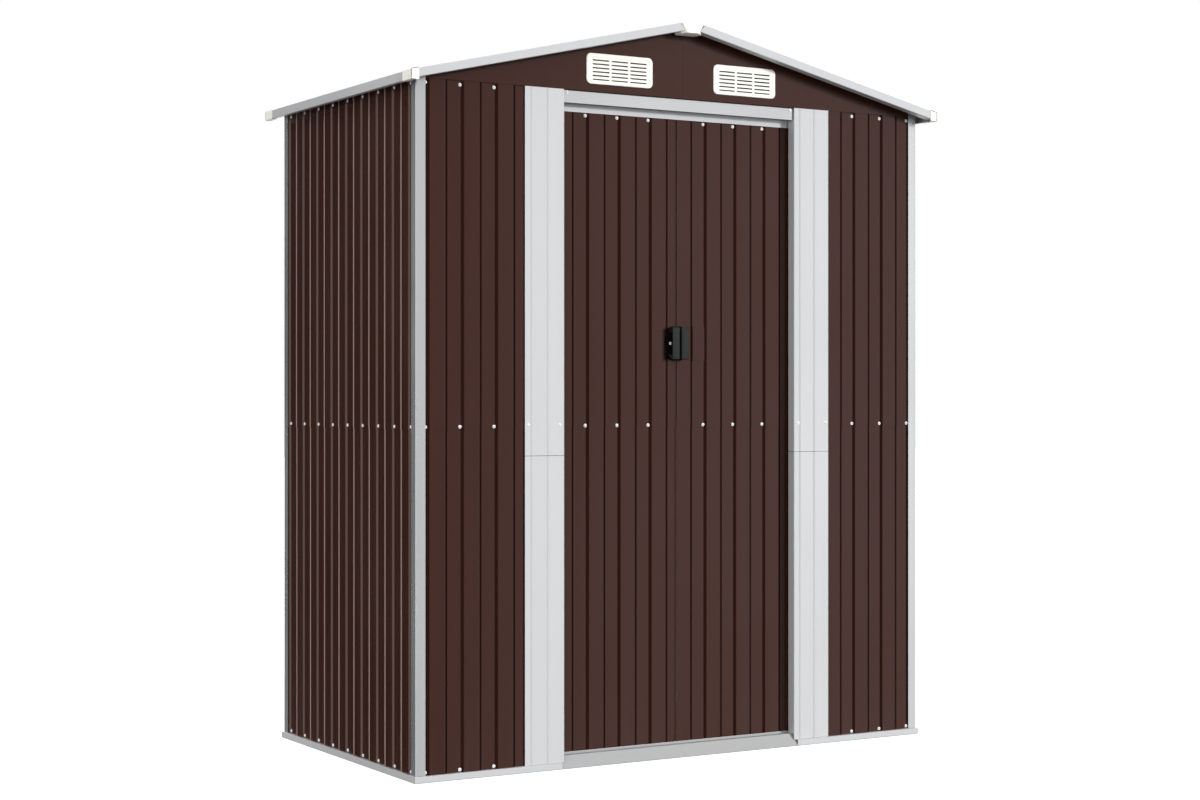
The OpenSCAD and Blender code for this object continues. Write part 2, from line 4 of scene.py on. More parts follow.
import bmesh
import bpy
import numpy as np
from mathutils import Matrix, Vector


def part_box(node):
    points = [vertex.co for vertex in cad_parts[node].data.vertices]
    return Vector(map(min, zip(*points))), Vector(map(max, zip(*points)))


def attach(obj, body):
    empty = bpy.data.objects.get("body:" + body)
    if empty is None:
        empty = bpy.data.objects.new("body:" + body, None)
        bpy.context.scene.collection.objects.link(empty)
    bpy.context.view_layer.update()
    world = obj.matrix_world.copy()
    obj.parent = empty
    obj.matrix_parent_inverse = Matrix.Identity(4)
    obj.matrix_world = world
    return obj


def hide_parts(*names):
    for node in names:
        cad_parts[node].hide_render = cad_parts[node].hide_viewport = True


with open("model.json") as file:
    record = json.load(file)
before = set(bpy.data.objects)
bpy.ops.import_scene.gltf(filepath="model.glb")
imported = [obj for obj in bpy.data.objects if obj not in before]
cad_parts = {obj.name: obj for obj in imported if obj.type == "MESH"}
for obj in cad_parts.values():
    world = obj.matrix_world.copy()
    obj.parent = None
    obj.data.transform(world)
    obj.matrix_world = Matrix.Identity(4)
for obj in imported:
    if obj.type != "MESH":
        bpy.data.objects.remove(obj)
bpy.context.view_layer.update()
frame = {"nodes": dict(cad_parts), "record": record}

MM = 0.001
X = np.array([1.0, 0.0, 0.0])
Y = np.array([0.0, 1.0, 0.0])
Z = np.array([0.0, 0.0, 1.0])
SIDES = (("left", -1), ("right", 1))
CORNERS = [(x, y) for x in (-1, 1) for y in (-1, 1)]
DOORS = ("left_door", "right_door")

# Ribbed sheets
RIB_PITCH = 110 * MM
CREST_W = 51 * MM
SLOPE_W = 8 * MM
RIB_DEPTH = 3 * MM
SHEET_T = 0.8 * MM
SHEET_DEPTH = RIB_DEPTH + SHEET_T
RIB_BEND = 12 * MM

# First rib of each sheet: from its left end, seen from outside, and on the side walls from the back
FIRST_RIB = {
    "front_left": 36 * MM,
    "front_right": 93.5 * MM,
    "left_wall": 95 * MM,
    "right_wall": 95 * MM,
    "back_wall": 30 * MM,
    "left_door": 26.5 * MM,
    "right_door": 107.5 * MM,
    "roof": 30 * MM,
}

# Slope of the roof
ROOF_PITCH = math.radians(13)
FALL = math.tan(ROOF_PITCH)
RISE = math.sin(ROOF_PITCH)
SLANT = math.cos(ROOF_PITCH)

# Frame and doorway: the seat is the gap between pieces that lie on each other, and the inner depth is that of the
# pieces behind the sheets, from the wall's front
SEAT = 0.3 * MM
FRAME_T = 1.2 * MM
FRAME_BEND = 2.2 * MM
INNER_D = 6.7 * MM
BASE_OUT = 6 * MM
BASE_H = 20 * MM
BASE_FOOT = 45 * MM
RAMP_RUN = 21 * MM
RAMP_LEG_Z = 8 * MM
TRACK_FOOT = 12 * MM
TRACK_DROP = 14.5 * MM
LIP_GAP = 0.4 * MM
LIP_OVER = 3 * MM
JAMB_W = 132 * MM
JAMB_RETURN = 31 * MM
JAMB_SEAM_Z = 923 * MM
JAMB_SEAM_GAP = 1.2 * MM
BEAD_W = 9 * MM
BEAD_H = 1 * MM
BEAD_AT = np.array([22, 77]) * MM
HEADER_H = 38 * MM
LEDGE_OVER = 8 * MM
LEDGE_REACH = 8.3 * MM
LEDGE_LIP_H = 4.5 * MM

# Rails of the leaves
TOP_RAIL_H = 26 * MM
BOTTOM_RAIL_H = 12 * MM
BOTTOM_LIP_H = 4 * MM

# Trims along the roof's edges
TRIM_T = 1.0 * MM
TRIM_BEND = 1.8 * MM
TRIM_FLANGE = 25 * MM
RAKE_H = 25 * MM
RAKE_RETURN = 28 * MM
RAKE_START = 45 * MM
RAKE_SLANT = 0.5
RAKE_COVER = 10 * MM
EAVE_H = 27 * MM
EAVE_RETURN = 14 * MM


# Meshes

# A bend takes at most this share of a leg
BEND_SHARE = 0.48
# A fold is left out closer than this to a sheet's end
FOLD_CLEAR = 0.1 * MM
# A moulded piece has a sharp edge where its surface turns by more than this
MOULD_SHARP = math.radians(40)


def headings(path):
    """The length of each leg of a path, its heading and the way to its right."""
    legs = np.diff(path, axis=0)
    length = np.linalg.norm(legs, axis=1)
    unit = legs / length[:, None]
    return length, unit, np.stack([unit[:, 1], -unit[:, 0]], 1)


def round_path(path, radius, steps):
    """A folded path with round bends. Each corner becomes an arc that starts radius * tan(turn / 2) before it
    and turns evenly from one leg's heading to the next one's. Gives the points and their normals, which lie
    on the right of the way."""
    path = np.asarray(path, float)
    length, unit, right = headings(path)
    if len(path) == 2:
        return path, np.repeat(right, 2, axis=0)
    a, b = unit[:-1], unit[1:]
    turn = np.arctan2(a[:, 0] * b[:, 1] - a[:, 1] * b[:, 0], (a * b).sum(1))
    half = np.abs(np.tan(turn / 2))
    reach = np.minimum(radius * half, BEND_SHARE * np.minimum(length[:-1], length[1:]))
    size = (reach / half)[:, None]
    inward = -right[:-1] * np.sign(turn)[:, None]
    start = path[1:-1] - a * reach[:, None]
    centre = start + inward * size
    angle = turn[:, None] * np.linspace(0, 1, steps + 1)
    cos, sin = np.cos(angle), np.sin(angle)

    def turned(v):
        """Each arc's vector v, turned by its angles."""
        return np.stack([cos * v[:, :1] - sin * v[:, 1:], sin * v[:, :1] + cos * v[:, 1:]], -1).reshape(-1, 2)

    arcs = np.repeat(centre, steps + 1, axis=0) + turned(-inward * size)
    points = np.concatenate([path[:1], arcs, path[-1:]])
    normals = np.concatenate([right[:1], turned(right[:-1]), right[-1:]])
    return points, normals


def folded_section(path, thickness, radius, steps=4):
    """Outline of a folded sheet. The path is one face and the sheet lies on its right: the path is moved half
    a thickness to the right, rounded at its bends, then carried half a thickness to either side and closed."""
    path = np.asarray(path, float)
    _, _, right = headings(path)
    before = np.concatenate([right[:1], right])
    after = np.concatenate([right, right[-1:]])
    mitre = (before + after) / (1 + (before * after).sum(1))[:, None]
    middle, normals = round_path(path + mitre * thickness / 2, radius, steps)
    outline = np.concatenate([middle - normals * thickness / 2, (middle + normals * thickness / 2)[::-1]])
    return outline, np.concatenate([-normals, normals[::-1]])


def carried(section, origin, across, deep, along, start, stop):
    """A closed outline carried along a straight line. A point (a, b) of the outline goes to
    origin + a * across + b * deep + s * along, with s from start to stop, which may differ from point to
    point where the ends are cut at a slant. Both ends are closed by quads from face to face. Gives the points,
    the faces, their corners' normals and the fold, which is how far a point's normal leans across."""
    outline, normals = section
    count = len(outline)
    half = count // 2
    base = np.asarray(origin) + outline[:, :1] * across + outline[:, 1:] * deep
    start = np.broadcast_to(start, count)[:, None]
    stop = np.broadcast_to(stop, count)[:, None]
    points = np.concatenate([base + start * along, base + stop * along])
    flat = normals[:, :1] * across + normals[:, 1:] * deep
    i = np.arange(count)
    j = (i + 1) % count
    sides = np.stack([j, i, i + count, j + count], 1)
    side_normals = np.stack([flat[j], flat[i], flat[i], flat[j]], 1)
    for edge in (half - 1, count - 1):
        way = base[(edge + 1) % count] - base[edge]
        out = np.cross(along, way)
        side_normals[edge] = out / np.linalg.norm(out)
    k = np.arange(half - 1)
    near = np.stack([k, k + 1, count - 2 - k, count - 1 - k], 1)
    far = near[:, ::-1] + count
    faces = np.concatenate([sides, near, far])
    cap_normals = np.zeros((len(near) * 2, 4, 3))
    cap_normals[: len(near)] = -along
    cap_normals[len(near) :] = along
    corner_normals = np.concatenate([side_normals, cap_normals])
    if np.dot(np.cross(across, deep), along) < 0:
        faces = faces[:, ::-1]
        corner_normals = corner_normals[:, ::-1]
        corner_normals[[half - 1, count - 1]] *= -1
    fold = np.abs(normals[:, 0])
    return points, faces, corner_normals, np.concatenate([fold, fold])


def joined(shapes):
    """Several shapes as one: their points follow each other, and the faces count on from them."""
    shift = np.cumsum([0] + [len(points) for points, *_ in shapes[:-1]])
    points, faces, corner_normals, fold = zip(*shapes)
    faces = [rows + first for rows, first in zip(faces, shift)]
    return tuple(np.concatenate(parts) for parts in (points, faces, corner_normals, fold))


def piece(name, shape, material, body, nodes=()):
    """A mesh of quads with its own corner normals, on a body of the frame, in place of the nodes named."""
    points, faces, corner_normals, fold = shape
    mesh = bpy.data.meshes.new(name)
    mesh.from_pydata(points.tolist(), [], faces.tolist())
    mesh.polygons.foreach_set("use_smooth", np.ones(len(faces), bool))
    mesh.attributes.new("fold", "FLOAT", "POINT").data.foreach_set("value", fold.astype(np.float32))
    mesh.normals_split_custom_set(corner_normals.reshape(-1, 3).tolist())
    return placed(name, mesh, material, body, nodes)


def placed(name, mesh, material, body, nodes=()):
    """An object for a finished mesh."""
    mesh.update()
    obj = bpy.data.objects.new(name, mesh)
    bpy.context.collection.objects.link(obj)
    mesh.materials.append(material)
    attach(obj, body)
    if nodes:
        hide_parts(*nodes)
    return obj


def moulded(name, shapes, material, body, nodes=()):
    """A mesh of several closed shapes, each given by points and faces: smooth up to an angle, faces outwards."""
    shift = np.cumsum([0] + [len(points) for points, faces in shapes[:-1]])
    points = np.concatenate([points for points, faces in shapes])
    faces = [[n + first for n in face] for (_, faces), first in zip(shapes, shift.tolist()) for face in faces]
    mesh = bpy.data.meshes.new(name)
    mesh.from_pydata(points.tolist(), [], faces)
    mesh.polygons.foreach_set("use_smooth", np.ones(len(faces), bool))
    work = bmesh.new()
    work.from_mesh(mesh)
    bmesh.ops.recalc_face_normals(work, faces=work.faces)
    work.to_mesh(mesh)
    work.free()
    mesh.set_sharp_from_angle(angle=MOULD_SHARP)
    return placed(name, mesh, material, body, nodes)


def loft(rings, closed=False):
    """Rings of points that follow each other, joined by quads. A loft that doesn't close on its first ring ends
    in two flat faces."""
    count, sides = rings.shape[:2]
    step = np.arange(count if closed else count - 1)[:, None]
    after = (step + 1) % count
    i = np.arange(sides)
    j = (i + 1) % sides
    quads = np.stack([step * sides + i, step * sides + j, after * sides + j, after * sides + i], -1)
    faces = quads.reshape(-1, 4).tolist()
    if not closed:
        faces += [i[::-1].tolist(), ((count - 1) * sides + i).tolist()]
    return rings.reshape(-1, 3), faces


def plate_section(corners, radius, steps=3):
    """Outline of a plate: a closed path, clockwise, with each corner turned into an arc."""
    corners = np.asarray(corners, float)
    middle = (corners[-1:] + corners[:1]) / 2
    points, normals = round_path(np.concatenate([middle, corners, middle]), radius, steps)
    return points[1:-1], -normals[1:-1]


def ribbed_path(width, first):
    """The face of a ribbed sheet, in length and depth, from its right end to its left. The depth is 0 on a
    crest and the rib depth in a valley, and it changes evenly over each slope."""
    fold = np.array([0, CREST_W, CREST_W + SLOPE_W, RIB_PITCH - SLOPE_W, RIB_PITCH])
    depth = np.array([0, 0, RIB_DEPTH, RIB_DEPTH, 0])
    ribs = np.arange(-2, int(width / RIB_PITCH) + 2)
    u = (first + ribs[:, None] * RIB_PITCH + fold[:-1]).ravel()
    u = np.concatenate([[0], u[(u > FOLD_CLEAR) & (u < width - FOLD_CLEAR)], [width]])
    d = np.interp(np.mod(u - first, RIB_PITCH), fold, depth)
    return np.stack([u, d], 1)[::-1]


# Painted highlight lines along a side wall's folds: distances from a crest's start, and strengths
HIGHLIGHT_AT = np.array([0, 6, 7, 48.5, 51, 59, 61.5, 107.5, 109, 110]) * MM
HIGHLIGHT_SHARE = np.array([1, 1, 0, 0, 0.15, 0.15, 0, 0, 1, 1])
HIGHLIGHT_EDGE = HIGHLIGHT_AT[1:3]
# The fold's value on a painted highlight line, in a strip of painted shadow and on a sheet's back
HIGHLIGHT_FOLD = -0.3
SHADOW_FOLD = 0.35
BACK_FOLD = -1


def cut_section(section, places):
    """A folded section with more points, at the given lengths, on its face and on its back. Depth and normal run
    evenly from one old point to the next."""
    table = np.concatenate(section, axis=1)
    half = len(table) // 2
    parts = []
    for side in (table[:half][::-1], table[half:]):
        u = np.sort(np.concatenate([side[:, 0], places]))
        parts.append(np.stack([np.interp(u, side[:, 0], column) for column in side.T], 1))
    table = np.concatenate([parts[0][::-1], parts[1]])
    return table[:, :2], table[:, 2:]


def ribbed_sheet(origin, across, deep, along, width, first, length, painted_highlights=False, shadow_from=None):
    """A ribbed sheet: its folded section, carried along the ribs. The fold is the normal's lean on the face, which
    paints shade in the folds; when the sheet has painted highlights, it is instead 0 on the face and below 0 on their
    lines. It is lowest on the back. From one length on, the face carries a painted shadow."""
    section = folded_section(ribbed_path(width, first), SHEET_T, RIB_BEND)
    if painted_highlights:
        ribs = np.arange(-1, int(width / RIB_PITCH) + 2)
        places = (first + ribs[:, None] * RIB_PITCH + HIGHLIGHT_EDGE).ravel()
        section = cut_section(section, places[(places > MM) & (places < width - MM)])
    if shadow_from is not None:
        section = cut_section(section, np.array([shadow_from, shadow_from + MM]))
    u = section[0][:, 0]
    fold = np.abs(section[1][:, 0])
    if painted_highlights:
        fold = HIGHLIGHT_FOLD * np.interp(np.mod(u - first, RIB_PITCH), HIGHLIGHT_AT, HIGHLIGHT_SHARE)
    if shadow_from is not None:
        fold = np.maximum(fold, np.interp(u, [shadow_from, shadow_from + MM], [0, SHADOW_FOLD]))
    fold = np.where(np.arange(len(u)) < len(u) // 2, fold, BACK_FOLD)
    points, faces, corner_normals, _ = carried(section, origin, across, deep, along, 0, length)
    return points, faces, corner_normals, np.concatenate([fold, fold])


# Materials


def group(name, inputs, outputs):
    """A shader node group with named sockets."""
    tree = bpy.data.node_groups.new(name, "ShaderNodeTree")
    for kind, way in ((inputs, "INPUT"), (outputs, "OUTPUT")):
        for label, socket in kind:
            tree.interface.new_socket(label, in_out=way, socket_type="NodeSocket" + socket)
    return tree, tree.nodes.new("NodeGroupInput").outputs, tree.nodes.new("NodeGroupOutput").inputs


def add(tree, kind, links=(), **values):
    """A node with its options set, and its inputs linked or set by name or number."""
    node = tree.nodes.new("ShaderNode" + kind)
    for key, value in values.items():
        setattr(node, key, value)
    for key, value in dict(links).items():
        if isinstance(value, bpy.types.NodeSocket):
            tree.links.new(value, node.inputs[key])
        else:
            node.inputs[key].default_value = value
    return node


def calc(tree, operation, *values):
    """The result of a sum on values or sockets."""
    return add(tree, "Math", dict(enumerate(values)), operation=operation).outputs[0]


def noise(tree, coords, stretch, scale, detail):
    """Noise on coordinates that are stretched first."""
    mapped = add(tree, "Mapping", {"Vector": coords, "Scale": stretch}).outputs[0]
    return add(tree, "TexNoise", {"Vector": mapped, "Scale": scale, "Detail": detail}).outputs[0]


def spread(tree, value, old, new=(0.0, 1.0)):
    """A value spread from one range to another, held at its ends."""
    ranges = {"Value": value, "From Min": old[0], "From Max": old[1], "To Min": new[0], "To Max": new[1]}
    return add(tree, "MapRange", ranges).outputs[0]


def blend(tree, share, a, b):
    """Two colours mixed by a share."""
    return add(tree, "Mix", {0: share, 6: a, 7: b}, data_type="RGBA").outputs[2]


EVEN = (1, 1, 1)
DUST_TOP = 0.35
DUST_FADE = 2.2
DUST_ROUGH = 0.35
GRAIN_SHARE = 0.004


def coat_of_paint():
    """Paint on sheet steel: broad changes of tone, faint streaks from the roof down, dust that rises from the
    ground, painted shade in the folds, painted highlight lines, another coat on the back, and a height with the
    paint's fine grain and the slight waves of thin sheet."""
    colours = ("Paint", "Shade Paint", "Highlight Paint", "Back Paint", "Dust")
    values = ("Shade", "Highlight", "Back", "Dust Share", "Tone", "Gloss")
    tree, given, result = group(
        "coat_of_paint",
        [("Coords", "Vector")] + [(name, "Color") for name in colours] + [(name, "Float") for name in values],
        (("Color", "Color"), ("Roughness", "Float"), ("Height", "Float")),
    )
    coords = given["Coords"]
    broad = noise(tree, coords, EVEN, scale=1.7, detail=2.0)
    streak = noise(tree, coords, (22, 22, 0.7), scale=1.0, detail=3.0)
    speck = noise(tree, coords, EVEN, scale=160.0, detail=2.0)
    grain = noise(tree, coords, EVEN, scale=900.0, detail=1.0)
    wave = noise(tree, coords, (2.2, 2.2, 0.9), scale=2.4, detail=1.0)
    tone = spread(tree, calc(tree, "ADD", broad, streak), (0.6, 1.4), (-1.0, 1.0))
    tone = calc(tree, "MULTIPLY_ADD", tone, given["Tone"], 1.0)
    colour = given["Paint"]
    for share in ("Shade", "Highlight", "Back"):
        colour = blend(tree, given[share], colour, given[share + " Paint"])
    colour = add(tree, "VectorMath", {0: colour, "Scale": tone}, operation="SCALE").outputs[0]
    height = add(tree, "SeparateXYZ", {0: coords}).outputs[2]
    low = calc(tree, "POWER", spread(tree, height, (0.0, DUST_TOP), (1.0, 0.0)), DUST_FADE)
    dusty = calc(tree, "MULTIPLY", low, spread(tree, streak, (0.35, 0.75)))
    dusty = calc(tree, "ADD", dusty, spread(tree, speck, (0.45, 0.8), (0.0, 0.25)))
    dusty = calc(tree, "MULTIPLY", dusty, given["Dust Share"])
    rough = calc(tree, "ADD", spread(tree, broad, (0.3, 0.7), (-0.05, 0.06)), given["Gloss"])
    tree.links.new(blend(tree, dusty, colour, given["Dust"]), result["Color"])
    tree.links.new(calc(tree, "MULTIPLY_ADD", dusty, DUST_ROUGH, rough), result["Roughness"])
    tree.links.new(calc(tree, "MULTIPLY_ADD", grain, GRAIN_SHARE, wave), result["Height"])
    return tree


PAINT = coat_of_paint()


def new_material(name):
    """A material with its nodes, its shader and the object's coordinates."""
    material = bpy.data.materials.new(name)
    material.use_nodes = True
    tree = material.node_tree
    return material, tree, tree.nodes["Principled BSDF"], add(tree, "TexCoord").outputs["Object"]


# Share of metal in the folds with painted shade, so that they also reflect in the shade's colour
SHADE_METAL = 0.7
BACK_COAT = (0.42, 0.42, 0.415, 1)
# Painted highlight colour for the lines along the side walls' folds
HIGHLIGHT_PAINT = (0.29, 0.19, 0.165, 1)
# Where the fold's values start and end to show as painted shade, as painted highlight lines or as the back
SHADE_RANGE = (0.06, 0.26)
HIGHLIGHT_RANGE = (0.0, HIGHLIGHT_FOLD)
BACK_RANGE = (-0.9, BACK_FOLD)


def painted(name, paint, dust, dust_share, tone, gloss, wave, shine, metal=None, fold_shade_paint=None):
    """Painted sheet steel or plain plastic. Without a share of metal of its own, only the folds with painted shade are
    metal, so that they also reflect in the painted shade's colour."""
    material, tree, shader, coords = new_material(name)
    fold = add(tree, "Attribute", attribute_name="fold").outputs["Fac"]
    painted_shade, painted_highlight, back = (spread(tree, fold, ends) for ends in (SHADE_RANGE, HIGHLIGHT_RANGE, BACK_RANGE))
    look = add(tree, "Group", {
        "Coords": coords, "Shade": painted_shade, "Highlight": painted_highlight, "Back": back, "Paint": (*paint, 1),
        "Shade Paint": (*(fold_shade_paint or paint), 1), "Highlight Paint": HIGHLIGHT_PAINT, "Back Paint": BACK_COAT,
        "Dust": (*dust, 1), "Dust Share": dust_share, "Tone": tone, "Gloss": gloss,
    }, node_tree=PAINT)
    bump = add(tree, "Bump", {"Strength": 1.0, "Distance": wave, "Height": look.outputs["Height"]})
    tree.links.new(look.outputs["Color"], shader.inputs["Base Color"])
    tree.links.new(look.outputs["Roughness"], shader.inputs["Roughness"])
    tree.links.new(bump.outputs[0], shader.inputs["Normal"])
    shader.inputs["Specular IOR Level"].default_value = shine
    if metal is None:
        tree.links.new(calc(tree, "MULTIPLY", painted_shade, SHADE_METAL), shader.inputs["Metallic"])
    else:
        shader.inputs["Metallic"].default_value = metal
    return material


# Each fold colour below is painted shade where the fold attribute is high: much darker on the brown sheets' folds and
# most of the ridge cap, a touch darker on parts of the frame pieces
BROWN = painted("brown_paint", (0.0408, 0.0130, 0.0084), fold_shade_paint=(0.029, 0.0077, 0.0050), dust=(0.17, 0.14, 0.12),
                dust_share=0.05, tone=0.04, gloss=0.20, wave=0.6 * MM, shine=0.25)
SILVER = painted("silver_paint", (0.645, 0.65, 0.66), fold_shade_paint=(0.63, 0.635, 0.645), dust=(0.46, 0.44, 0.41),
                 dust_share=0.08, tone=0.02, gloss=0.26, wave=0.05 * MM, shine=0.30, metal=0.75)
TRIM = painted("trim_paint", (0.67, 0.675, 0.685), fold_shade_paint=(0.65, 0.655, 0.665), dust=(0.46, 0.44, 0.41),
               dust_share=0.08, tone=0.02, gloss=0.36, wave=0.3 * MM, shine=0.30, metal=0.35)
ZINC = painted("zinc_coat", (0.42, 0.425, 0.43), fold_shade_paint=(0.41, 0.415, 0.42), dust=(0.38, 0.36, 0.33),
               dust_share=0.20, tone=0.04, gloss=0.48, wave=0.6 * MM, shine=0.30, metal=0.10)
CREAM = painted("cream_plastic", (0.97, 0.965, 0.875), dust=(0.60, 0.57, 0.48), dust_share=0.03, tone=0.01, gloss=0.36,
                wave=0.2 * MM, shine=1.00, metal=0.0)
BLACK = painted("black_plastic", (0.0223, 0.024, 0.0235), dust=(0.14, 0.13, 0.12), dust_share=0.05, tone=0.05,
                gloss=0.46, wave=0.1 * MM, shine=0.30, metal=0.0)
# Near-black, far darker than the pull's plastic: painted shade inside the handle pull's hollow
HOLLOW_SHADE_BLACK = painted("black_painted_shade", (0.004, 0.004, 0.004), dust=(0.05, 0.05, 0.05), dust_share=0.03, tone=0.05, gloss=0.70,
                wave=0.1 * MM, shine=0.05, metal=0.0)
NYLON = painted("pale_nylon", (0.58, 0.575, 0.55), dust=(0.30, 0.28, 0.25), dust_share=0.15, tone=0.03, gloss=0.50,
                wave=0.1 * MM, shine=0.35, metal=0.0)
SLOT_MATERIAL = {
    "brown_sheet": BROWN,
    "silver_frame": SILVER,
    "zinc_sill": ZINC,
    "cream_plastic": CREAM,
    "black_plastic": BLACK,
    "glide_plastic": NYLON,
}

# The frame's own nodes take their slot's material
for subpart in frame["record"]["subparts"]:
    mesh = frame["nodes"][subpart["node"]].data
    mesh.materials.clear()
    mesh.materials.append(SLOT_MATERIAL[subpart["material_slot"]])

# Half the width and half the length of a screw's recess, in its map's millimetres
RECESS_HALF = 0.45
RECESS_REACH = 1.7


def screw_metal():
    """Bright zinc with a cross recess of painted shade, grey where one of the map's sides is within half a slot of the
    middle and the other within half a slot's length; the recess itself is only a bump."""
    material, tree, shader, coords = new_material("screw_zinc")
    flat = add(tree, "SeparateXYZ", {0: add(tree, "UVMap", uv_map="recess").outputs[0]})
    u, v = (calc(tree, "ABSOLUTE", flat.outputs[k]) for k in (0, 1))
    thin = [calc(tree, "LESS_THAN", side, RECESS_HALF) for side in (u, v)]
    long = [calc(tree, "LESS_THAN", side, RECESS_REACH) for side in (v, u)]
    cross = calc(tree, "MAXIMUM", *(calc(tree, "MULTIPLY", a, b) for a, b in zip(thin, long)))
    tone = spread(tree, noise(tree, coords, EVEN, scale=220.0, detail=2.0), (0.3, 0.7))
    zinc = blend(tree, tone, (0.94, 0.94, 0.94, 1), (0.99, 0.99, 0.99, 1))
    # The cross recess is painted shade: its grey stands for the shade inside it
    tree.links.new(blend(tree, cross, zinc, (0.30, 0.30, 0.30, 1)), shader.inputs["Base Color"])
    tree.links.new(spread(tree, tone, (0.0, 1.0), (0.42, 0.30)), shader.inputs["Roughness"])
    bump = add(tree, "Bump", {"Strength": 0.6, "Distance": 0.8 * MM, "Height": cross}, invert=True)
    tree.links.new(bump.outputs[0], shader.inputs["Normal"])
    shader.inputs["Metallic"].default_value = 0.1
    return material


SCREW = screw_metal()


# Ribbed sheets


def wall_axes(node, wall):
    """Where a wall's sheet starts on its node's box, the ways along it and into it, and its width. Its width runs
    to the right, seen from outside, and on the side walls from the back to the front."""
    lo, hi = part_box(node)
    origin, across, deep = {
        "front": ((lo.x, lo.y, lo.z), X, Y),
        "left": ((lo.x, hi.y, lo.z), -Y, X),
        "right": ((hi.x, hi.y, lo.z), -Y, -X),
        "back": ((hi.x, hi.y, lo.z), -X, -Y),
    }[wall]
    width = hi.x - lo.x if wall in ("front", "back") else hi.y - lo.y
    return np.array(origin), across, deep, width, hi.z - lo.z


def slope_axes(way):
    """The ways down a slope of the roof and straight out of it."""
    return SLANT * way * X - RISE * Z, RISE * way * X + SLANT * Z


# A strip of painted shadow on the front sheet beside the right post
POST_SHADE = 6.5 * MM
POST_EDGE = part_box("corner_post_front_right")[0].x
WALLS = (("front_left", "front"), ("front_right", "front"), ("left_wall", "left"), ("right_wall", "right"),
         ("back_wall", "back"))
for part, wall in WALLS:
    for length in ("lower", "upper"):
        node = f"{part}_{length}"
        origin, across, deep, width, tall = wall_axes(node, wall)
        shadow_from = POST_EDGE - origin[0] - POST_SHADE if part == "front_right" else None
        shape = ribbed_sheet(origin, across, deep, Z, width, FIRST_RIB[part], tall,
                             painted_highlights=wall in ("left", "right"), shadow_from=shadow_from)
        piece(node + "_sheet", shape, BROWN, "shell", [node])

# Leaves: the upper sheet starts at the seam, and the lower one ends behind it, at the lap's top
SEAM_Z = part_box("front_left_upper")[0].z
LAP_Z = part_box("front_left_lower")[1].z
for door in DOORS:
    node = door + "_sheets"
    lo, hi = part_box(node)
    lengths = [
        ribbed_sheet((lo.x, hi.y - SHEET_DEPTH, lo.z), X, Y, Z, hi.x - lo.x, FIRST_RIB[door], LAP_Z - lo.z),
        ribbed_sheet((lo.x, lo.y, SEAM_Z), X, Y, Z, hi.x - lo.x, FIRST_RIB[door], hi.z - SEAM_Z),
    ]
    piece(node + "_ribbed", joined(lengths), BROWN, door, [node])

# Roof
for side, way in SIDES:
    node = "roof_sheet_" + side
    lo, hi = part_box(node)
    down, out = slope_axes(way)
    inner, outer = (hi.x, lo.x) if way < 0 else (lo.x, hi.x)
    top = inner + way * SHEET_DEPTH * RISE
    run = abs(outer - top) / SLANT
    shape = ribbed_sheet((top, hi.y, hi.z), -Y, -out, down, hi.y - lo.y, FIRST_RIB["roof"], run)
    piece(node + "_ribbed", shape, BROWN, "shell", [node])


# Frame

post_lo, post_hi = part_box("corner_post_front_left")
HALF_W, HALF_D = -post_lo.x, -post_lo.y
FRONT = (0, -HALF_D, 0)
POST_LEG = post_hi.x - post_lo.x
WALL_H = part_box("front_left_upper")[1].z + SEAT
BASE_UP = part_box("base_rail_left")[1].z
DOOR_HALF = -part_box("left_jamb")[1].x


def frame_piece(node, shapes, material=SILVER, body="shell"):
    """A piece of folded sheet in place of a node."""
    return piece(node + "_folded", joined(shapes), material, body, [node])


# Corner posts: two legs with a round bend at the corner
post = folded_section([(POST_LEG, 0), (0, 0), (0, POST_LEG)], FRAME_T, FRAME_BEND)
for end, y in (("front", -1), ("back", 1)):
    for side, x in SIDES:
        corner = (x * HALF_W, y * HALF_D, post_lo.z)
        shape = carried(post, corner, -x * X, -y * Y, Z, 0, post_hi.z - post_lo.z)
        frame_piece(f"corner_post_{end}_{side}", [shape])


# Base rails: foot, nose, ledge and upstand, mitred at the corners
def base_run(foot, origin, deep, along, start=None, stop=None):
    """A base rail: an end that isn't given is mitred, so that it moves in by as much as the section goes in."""
    section = folded_section([(foot, 0), (-BASE_OUT, 0), (-BASE_OUT, BASE_H), (INNER_D, BASE_H), (INNER_D, BASE_UP)],
                             FRAME_T, FRAME_BEND)
    mitre = np.maximum(section[0][:, 0], -BASE_OUT) + SEAT / 2
    half = HALF_W if abs(along[0]) else HALF_D
    start = mitre - half if start is None else start
    stop = half - mitre if stop is None else stop
    return carried(section, origin, deep, Z, along, start, stop)


track_lo, track_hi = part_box("door_sill_track")
ramp_lo, ramp_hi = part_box("door_ramp")
RAMP_HALF, RAMP_H = ramp_hi.x, ramp_hi.z
TRACK_D = track_lo.y + HALF_D
FRONT_FOOT = TRACK_D - FRAME_T
rail_end = RAMP_HALF + SEAT
frame_piece("base_rail_front", [base_run(FRONT_FOOT, FRONT, Y, X, stop=-rail_end),
                                base_run(FRONT_FOOT, FRONT, Y, X, start=rail_end)], TRIM)
for side, origin, deep, along in (("back", (0, HALF_D, 0), -Y, X), ("left", (-HALF_W, 0, 0), X, Y),
                                  ("right", (HALF_W, 0, 0), -X, Y)):
    frame_piece("base_rail_" + side, [base_run(BASE_FOOT, origin, deep, along)], TRIM)

# Threshold ramp
toe, heel = ramp_lo.y + HALF_D, ramp_hi.y + HALF_D
ramp = folded_section([(heel - 2 * FRAME_T, 0), (toe, 0), (toe + RAMP_RUN, RAMP_H), (heel, RAMP_H),
                       (heel, RAMP_LEG_Z)], FRAME_T, FRAME_BEND)
frame_piece("door_ramp", [carried(ramp, FRONT, Y, Z, X, -RAMP_HALF, RAMP_HALF)], ZINC)

